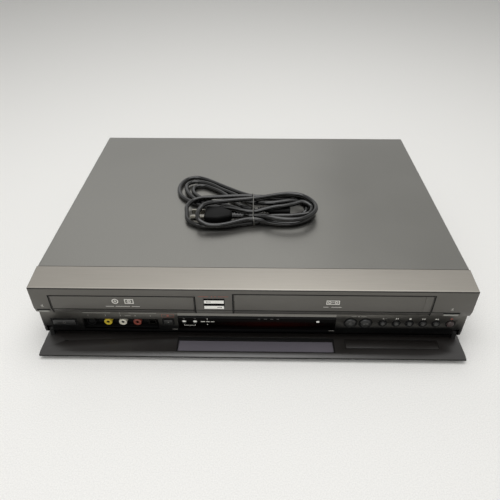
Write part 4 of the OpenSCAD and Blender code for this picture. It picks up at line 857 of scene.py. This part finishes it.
printed("transport_signs", "casing", white_ink, panel_y, [
    (bar, 145.3, 36.3, 0.75, 2.0), (bar, 147.1, 36.3, 0.75, 2.0), (bar, 159.5, 36.3, 2.0, 2.0),
    (arrow, 172.0, 36.3, 1.15, 180), (arrow, 173.9, 36.3, 1.15, 180),
    (arrow, 185.3, 36.3, 1.15, 0), (arrow, 187.2, 36.3, 1.15, 0)])
printed("play_sign", "casing", grey_ink, panel_y, [
    (arrow, 132.6, 36.3, 1.3, 0), (bar, 135.3, 36.3, 1.6, 0.4)])
printed("record_sign", "casing", red_ink, panel_y, [
    (ring, 200.8, 36.9, 1.3, 0.4), (dot, 200.8, 36.9, 0.55)])


# ---- Key caps ----
# What the caps carry: a dim sign on each large key, a painted highlight in the middle of the
# small ones, and on the dubbing bars a white printed face with a black arrow.
large_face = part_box("disc_select_button")[0].y
highlight_r, highlight_steps, highlight_up = 1.9, 28, 0.2
face_x, face_wide, face_high, arrow_from_bar = -36.7, 19.3, 4.0, 2.2
# A painted highlight on the small keys' black caps: greyer than the key round it, and as satin.
key_painted_highlight = grained("worn_key_cap", "#3c3c3a", "#444442", 0.5, (0.3, 0.4), lift_mm=0.004)

printed("disc_select_sign", "disc_select_button", dim_ink, large_face, [
    (ring, 100.0, 29.6, 1.7, 0.4), (ring, 100.0, 29.6, 0.6, 0.3)])
printed("tape_select_sign", "tape_select_button", dim_ink, large_face, [
    (frame_line, 115.2, 29.6, 4.6, 2.4, 0.35), (dot, 114.1, 29.6, 0.45),
    (dot, 116.3, 29.6, 0.45)])
printed("power_sign", "power_button", dim_ink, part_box("power_button")[0].y, [
    (ring, -192.4, 27.0, 1.5, 0.35), (bar, -192.4, 28.2, 0.35, 1.6)])
printed("disc_record_key_sign", "disc_record_button", dim_ink,
        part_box("disc_record_button")[0].y, [(dot, -85.2, 28.7, 0.8)])
for name in small_keys:
    node = name + "_button"
    x, z = centre(node)
    printed(name + "_cap", node, (key_painted_highlight, "button_plastic"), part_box(node)[0].y, [
        (dot, x, z + highlight_up, highlight_r, highlight_steps)])
for name, x, turn in (("dub_to_disc", -41.5, 180), ("dub_to_tape", -31.9, 0)):
    node = name + "_button"
    y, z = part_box(node)[0].y, centre(node)[1]
    point = x + (arrow_from_bar if turn == 0 else -arrow_from_bar)
    printed(name + "_face", node, lit_abs, y, [(bar, face_x, z, face_wide, face_high)])
    printed(name + "_sign", node, black_ink, y,
            [(bar, x, z, 3.4, 0.6), (arrow, point, z, 0.95, turn)], ink * 1.6)


# ---- Chassis and rear panel ----
# Pressed steel sheet, zinc plated after it is cut and folded; the plating is a cool grey with
# a faint crystal spangle. The rear panel is screwed to the tray and to the cover.
rear_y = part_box("rear_panel")[1].y
upright_back = Matrix.Rotation(math.radians(180), 4, "Z") @ upright
zinc = grained("zinc_plated_steel", "#85878a", "#9a9c9e", 2.2, (0.3, 0.44), lift_mm=0.006,
               patch_mm=25, Metallic=1.0)
dress(zinc, "bottom_chassis", "rear_panel")


def rear_print(name, finish, y, signs):
    """Signs in millimetres on a face that looks backwards; x is the player's own."""
    shape = bmesh.new()
    for draw, x, *sizes in signs:
        draw(shape, -x, *sizes)
    bmesh.ops.recalc_face_normals(shape, faces=shape.faces)
    shape.transform(Matrix.Translation((0, y, 0)) @ upright_back
                    @ Matrix.Diagonal((0.001, 0.001, ink, 1)))
    material, slot = finish
    piece(name, shape, material, "casing")


# ---- Rear sockets ----
# Moulded black blocks with phono sockets in coloured ABS, each round a nickel-plated contact;
# two threaded aerial sockets stand on the tuner can, and the mains inlet is a shrouded well.
block_x, row_z = (10, 32, 54, 82, 104, 132), (28.0, 42.0)
collar_r, collar_line = 4.1, 2.1
rear_contact_r, rear_contact_l, rear_contact_sunk = 0.0016, 0.003, 0.0005
aerial_x, aerial_z, aerial_turns = (168, 188), 28.0, 6
sleeve_bore, chamfer_r, thread_root, thread_crest = 0.0018, 0.0044, 0.00472, 0.0051
chamfer, thread_from = 0.0004, 0.0006
core_r, core_hole_r = 1.9, 0.6
dress(black_abs, "rear_jacks", "ac_inlet")
socket_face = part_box("rear_jacks")[1].y
# ABS coloured in the mass, moulded: plain satin collars, at these columns and rows.
for colour, dark, light, places in (
        ("yellow", "#cfb52c", "#dcc33c", ((0, 1), (1, 1), (2, 1))),
        ("white", "#d6d2c0", "#e3dfcd", ((3, 1), (4, 1))),
        ("red", "#93332a", "#a33d33", ((3, 0), (4, 0), (5, 0))),
        ("green", "#2c6b3d", "#357847", ((0, 0),)), ("blue", "#26447c", "#2f4f8a", ((5, 1),))):
    tint = grained(colour + "_socket_abs", dark, light, 0.6, (0.3, 0.4), lift_mm=0.005)
    rear_print(colour + "_collars", (tint, "black_plastic"), socket_face,
               [(ring, block_x[i], row_z[k], collar_r, collar_line) for i, k in places])
shape = bmesh.new()
for x in block_x:
    for z in row_z:
        place = Matrix.Translation((x / 1000, socket_face - rear_contact_sunk, z / 1000))
        lathe(shape, [(bore_r, 0), (bore_r, rear_contact_l), (rear_contact_r, rear_contact_l),
                      (rear_contact_r, 0), (bore_r, 0)], place @ upright, steps=24)
piece("rear_contacts", shape, nickel, "casing")

aerial_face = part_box("main_board")[1].y
aerial_l = aerial_face - rear_y
pitch = (aerial_l - 2 * thread_from) / aerial_turns
sleeve = [(sleeve_bore, 0), (chamfer_r, 0), (thread_root, chamfer)]
for k in range(aerial_turns):
    sleeve += [(thread_root, thread_from + pitch * k),
               (thread_crest, thread_from + pitch * (k + 0.5))]
sleeve += [(thread_root, aerial_l), (sleeve_bore, aerial_l), (sleeve_bore, 0)]
shape = bmesh.new()
for x in aerial_x:
    lathe(shape, sleeve, Matrix.Translation((x / 1000, aerial_face + 0.00003, aerial_z / 1000))
          @ upright)
piece("aerial_sleeves", shape, nickel, "casing")
rear_print("aerial_cores", lit_abs, aerial_face + 0.00001,
           [(dot, x, aerial_z, core_r) for x in aerial_x])
# The holes in the aerial cores are painted shade.
rear_print("aerial_holes", gap_shade_finish, aerial_face + 0.00006,
           [(dot, x, aerial_z, core_hole_r) for x in aerial_x])
rear_print("rear_signs", black_ink, rear_y, [
    *[(number, x, 50.5, 3.0, str(k + 1)) for k, x in enumerate(block_x)],
    (frame_line, 32, 35.0, 62, 26.0, 0.5), (frame_line, 93, 35.0, 38, 26.0, 0.5),
    (frame_line, 132, 35.0, 18, 26.0, 0.5), (frame_line, 178, 28.0, 36, 14.0, 0.5),
    (arrow, 168, 38.0, 1.6, 30), (arrow, 188, 38.0, 1.6, -30),
    (frame_line, -178, 30.0, 30, 22.0, 0.5)])


# ---- Feet and screws ----
# Moulded rubber feet pressed into the tray, and blackened steel screws with crossed slots
# driven through the cover.
screw_x, screw_z, slot_l, slot_w = (-190, 0, 190), 73.4, 3.4, 0.7
# Rubber, moulded: a dull dark grey with a fine texture.
rubber = grained("moulded_rubber", "#111111", "#181817", 0.5, (0.6, 0.75), lift_mm=0.02)
dress(rubber, "feet")
# Steel, cold headed and chemically blackened: nearly black, with a metal's satin shine.
screw_black = grained("blackened_steel", "#161616", "#222222", 0.5, (0.3, 0.4), Metallic=1.0)
dress(screw_black, "cover_screws")
head_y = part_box("cover_screws")[1].y
# The screws' crossed slots are painted shade.
rear_print("rear_screw_slots", gap_shade_finish, head_y, [
    (bar, x, screw_z, *size) for x in screw_x for size in ((slot_l, slot_w), (slot_w, slot_l))])


# ---- Circuit boards ----
# Fibreglass or paper laminate under solder mask, with black moulded chips, capacitors and
# cans standing on it: the tone changes at the top of the laminate.
board_top, above_all = 19.8, 900
track_mm = 4


def populated(name, top_mm, dark, light):
    """A board's finish: masked laminate with its tracks up to its top, black parts above."""
    material, tree, shader = surface(name)
    place = add(tree, "TexCoord").outputs["Object"]
    axes = add(tree, "SeparateXYZ", {}, {"Vector": place})
    # Copper tracks are finer than a render shows, so they are drawn about 4 mm apart.
    tracks = add(tree, "TexVoronoi", {"Scale": 1000 / track_mm, "feature": "DISTANCE_TO_EDGE"},
                 {"Vector": place})
    track = add(tree, "MapRange", {"From Min": 0.04, "From Max": 0.08},
                {"Value": tracks.outputs["Distance"]})
    mask = add(tree, "Mix", {"data_type": "RGBA", 6: linear(light), 7: linear(dark)},
               {0: track.outputs["Result"]})
    above = add(tree, "Math", {"operation": "GREATER_THAN", 1: top_mm / 1000},
                {0: axes.outputs["Z"]})
    tones = add(tree, "Mix", {"data_type": "RGBA", 7: linear("#141414")},
                {0: above.outputs["Value"], 6: mask.outputs[2]})
    gloss = add(tree, "MapRange", {"To Min": 0.28, "To Max": 0.5},
                {"Value": above.outputs["Value"]})
    tree.links.new(tones.outputs[2], shader.inputs["Base Color"])
    tree.links.new(gloss.outputs["Result"], shader.inputs["Roughness"])
    return material


dress(populated("green_solder_mask", board_top, "#0f2a1b", "#1b4830"), "main_board")
dress(populated("brown_paper_laminate", board_top, "#6b4a26", "#86602f"), "power_board")
dress(populated("front_solder_mask", above_all, "#0e2418", "#173824"), "front_board")


# ---- Disc drive ----
# A black moulded tray on a zinc-plated frame, a turned aluminium turntable with a rubber ring,
# an acetal gear that drives the tray, and a moulded clamp held by a plated bridge.
dress(zinc, "drive_chassis", "clamp_bridge")
dress(black_abs, "disc_tray", "disc_clamp", "pickup_sled")
# Acetal, moulded: a creamy white, smooth and slightly waxy.
acetal = grained("moulded_acetal", "#d8d3c2", "#e2ddcc", 0.8, (0.3, 0.4))
dress(acetal, "tray_gear")
# Aluminium, turned and polished: bright and cool, its tool marks too fine to see.
turned = grained("turned_aluminium", "#b9bbbd", "#cfd1d3", 0.3, (0.15, 0.25), Metallic=1.0)
dress(turned, "turntable")


# ---- Tape deck ----
# A plated deck with a sprung basket for the cassette, a polished aluminium head drum, a ground
# steel capstan with a rubber pinch roller, and two black moulded reels.
dress(zinc, "deck_chassis", "basket_slider", "cassette_basket", "pinch_arm")
dress(black_abs, "supply_reel", "takeup_reel")
dress(rubber, "pinch_roller")
dress(turned, "head_drum", "capstan")


# ---- Floor and light ----
# A sweep of pale paper under three soft boxes in a pale room. The paper is uncoated, so it is
# matt and all but even. Metal and glass see the room as bright as the camera does.
floor_half, room_light, room_seen = 8, 0.3, 0.8
floor_paper = grained("pale_paper", "#e9e8e5", "#ecebe8", 1.2, (0.7, 0.8), patch_mm=900)
shape = bmesh.new()
bmesh.ops.create_grid(shape, x_segments=1, y_segments=1, size=floor_half)
mesh = bpy.data.meshes.new("floor")
shape.to_mesh(mesh)
shape.free()
mesh.materials.append(floor_paper)
floor = bpy.data.objects.new("floor", mesh)
bpy.context.scene.collection.objects.link(floor)
floor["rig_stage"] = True

scene = bpy.context.scene
scene.view_settings.view_transform = "Standard"
world = bpy.data.worlds.new("room")
scene.world = world
world.use_nodes = True
tree = world.node_tree
backdrop = tree.nodes["Background"]
backdrop.inputs["Color"].default_value = linear("#fbfbf9")
ray = add(tree, "LightPath").outputs
seen = add(tree, "Math", {"operation": "MAXIMUM"},
           {0: ray["Is Camera Ray"], 1: ray["Is Glossy Ray"]})
seen = add(tree, "Math", {"operation": "MAXIMUM"},
           {0: seen.outputs["Value"], 1: ray["Is Transmission Ray"]})
strength = add(tree, "MapRange", {"To Min": room_light, "To Max": room_seen},
               {"Value": seen.outputs["Value"]})
tree.links.new(strength.outputs["Result"], backdrop.inputs["Strength"])


def soft_box(name, place, aim, wide, deep, watts):
    """A rectangular lamp at a place, turned to face another."""
    lamp = bpy.data.lights.new(name, "AREA")
    lamp.shape = "RECTANGLE"
    lamp.size, lamp.size_y, lamp.energy = wide, deep, watts
    made = bpy.data.objects.new(name, lamp)
    scene.collection.objects.link(made)
    aimed = (Vector(place) - Vector(aim)).to_track_quat("Z", "Y").to_matrix().to_4x4()
    made.matrix_world = Matrix.Translation(place) @ aimed


soft_box("overhead_lamp", place=(-0.05, -0.05, 1.4), aim=(0, -0.1, 0), wide=1.4, deep=0.9,
         watts=15)
soft_box("front_lamp", place=(-0.2, -1.5, 1.0), aim=(0, -0.1, 0), wide=1.4, deep=0.7,
         watts=5.5)
soft_box("back_lamp", place=(-0.45, 1.7, 1.5), aim=(0, 0, 0.05), wide=1.8, deep=1.0, watts=4)

low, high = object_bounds()
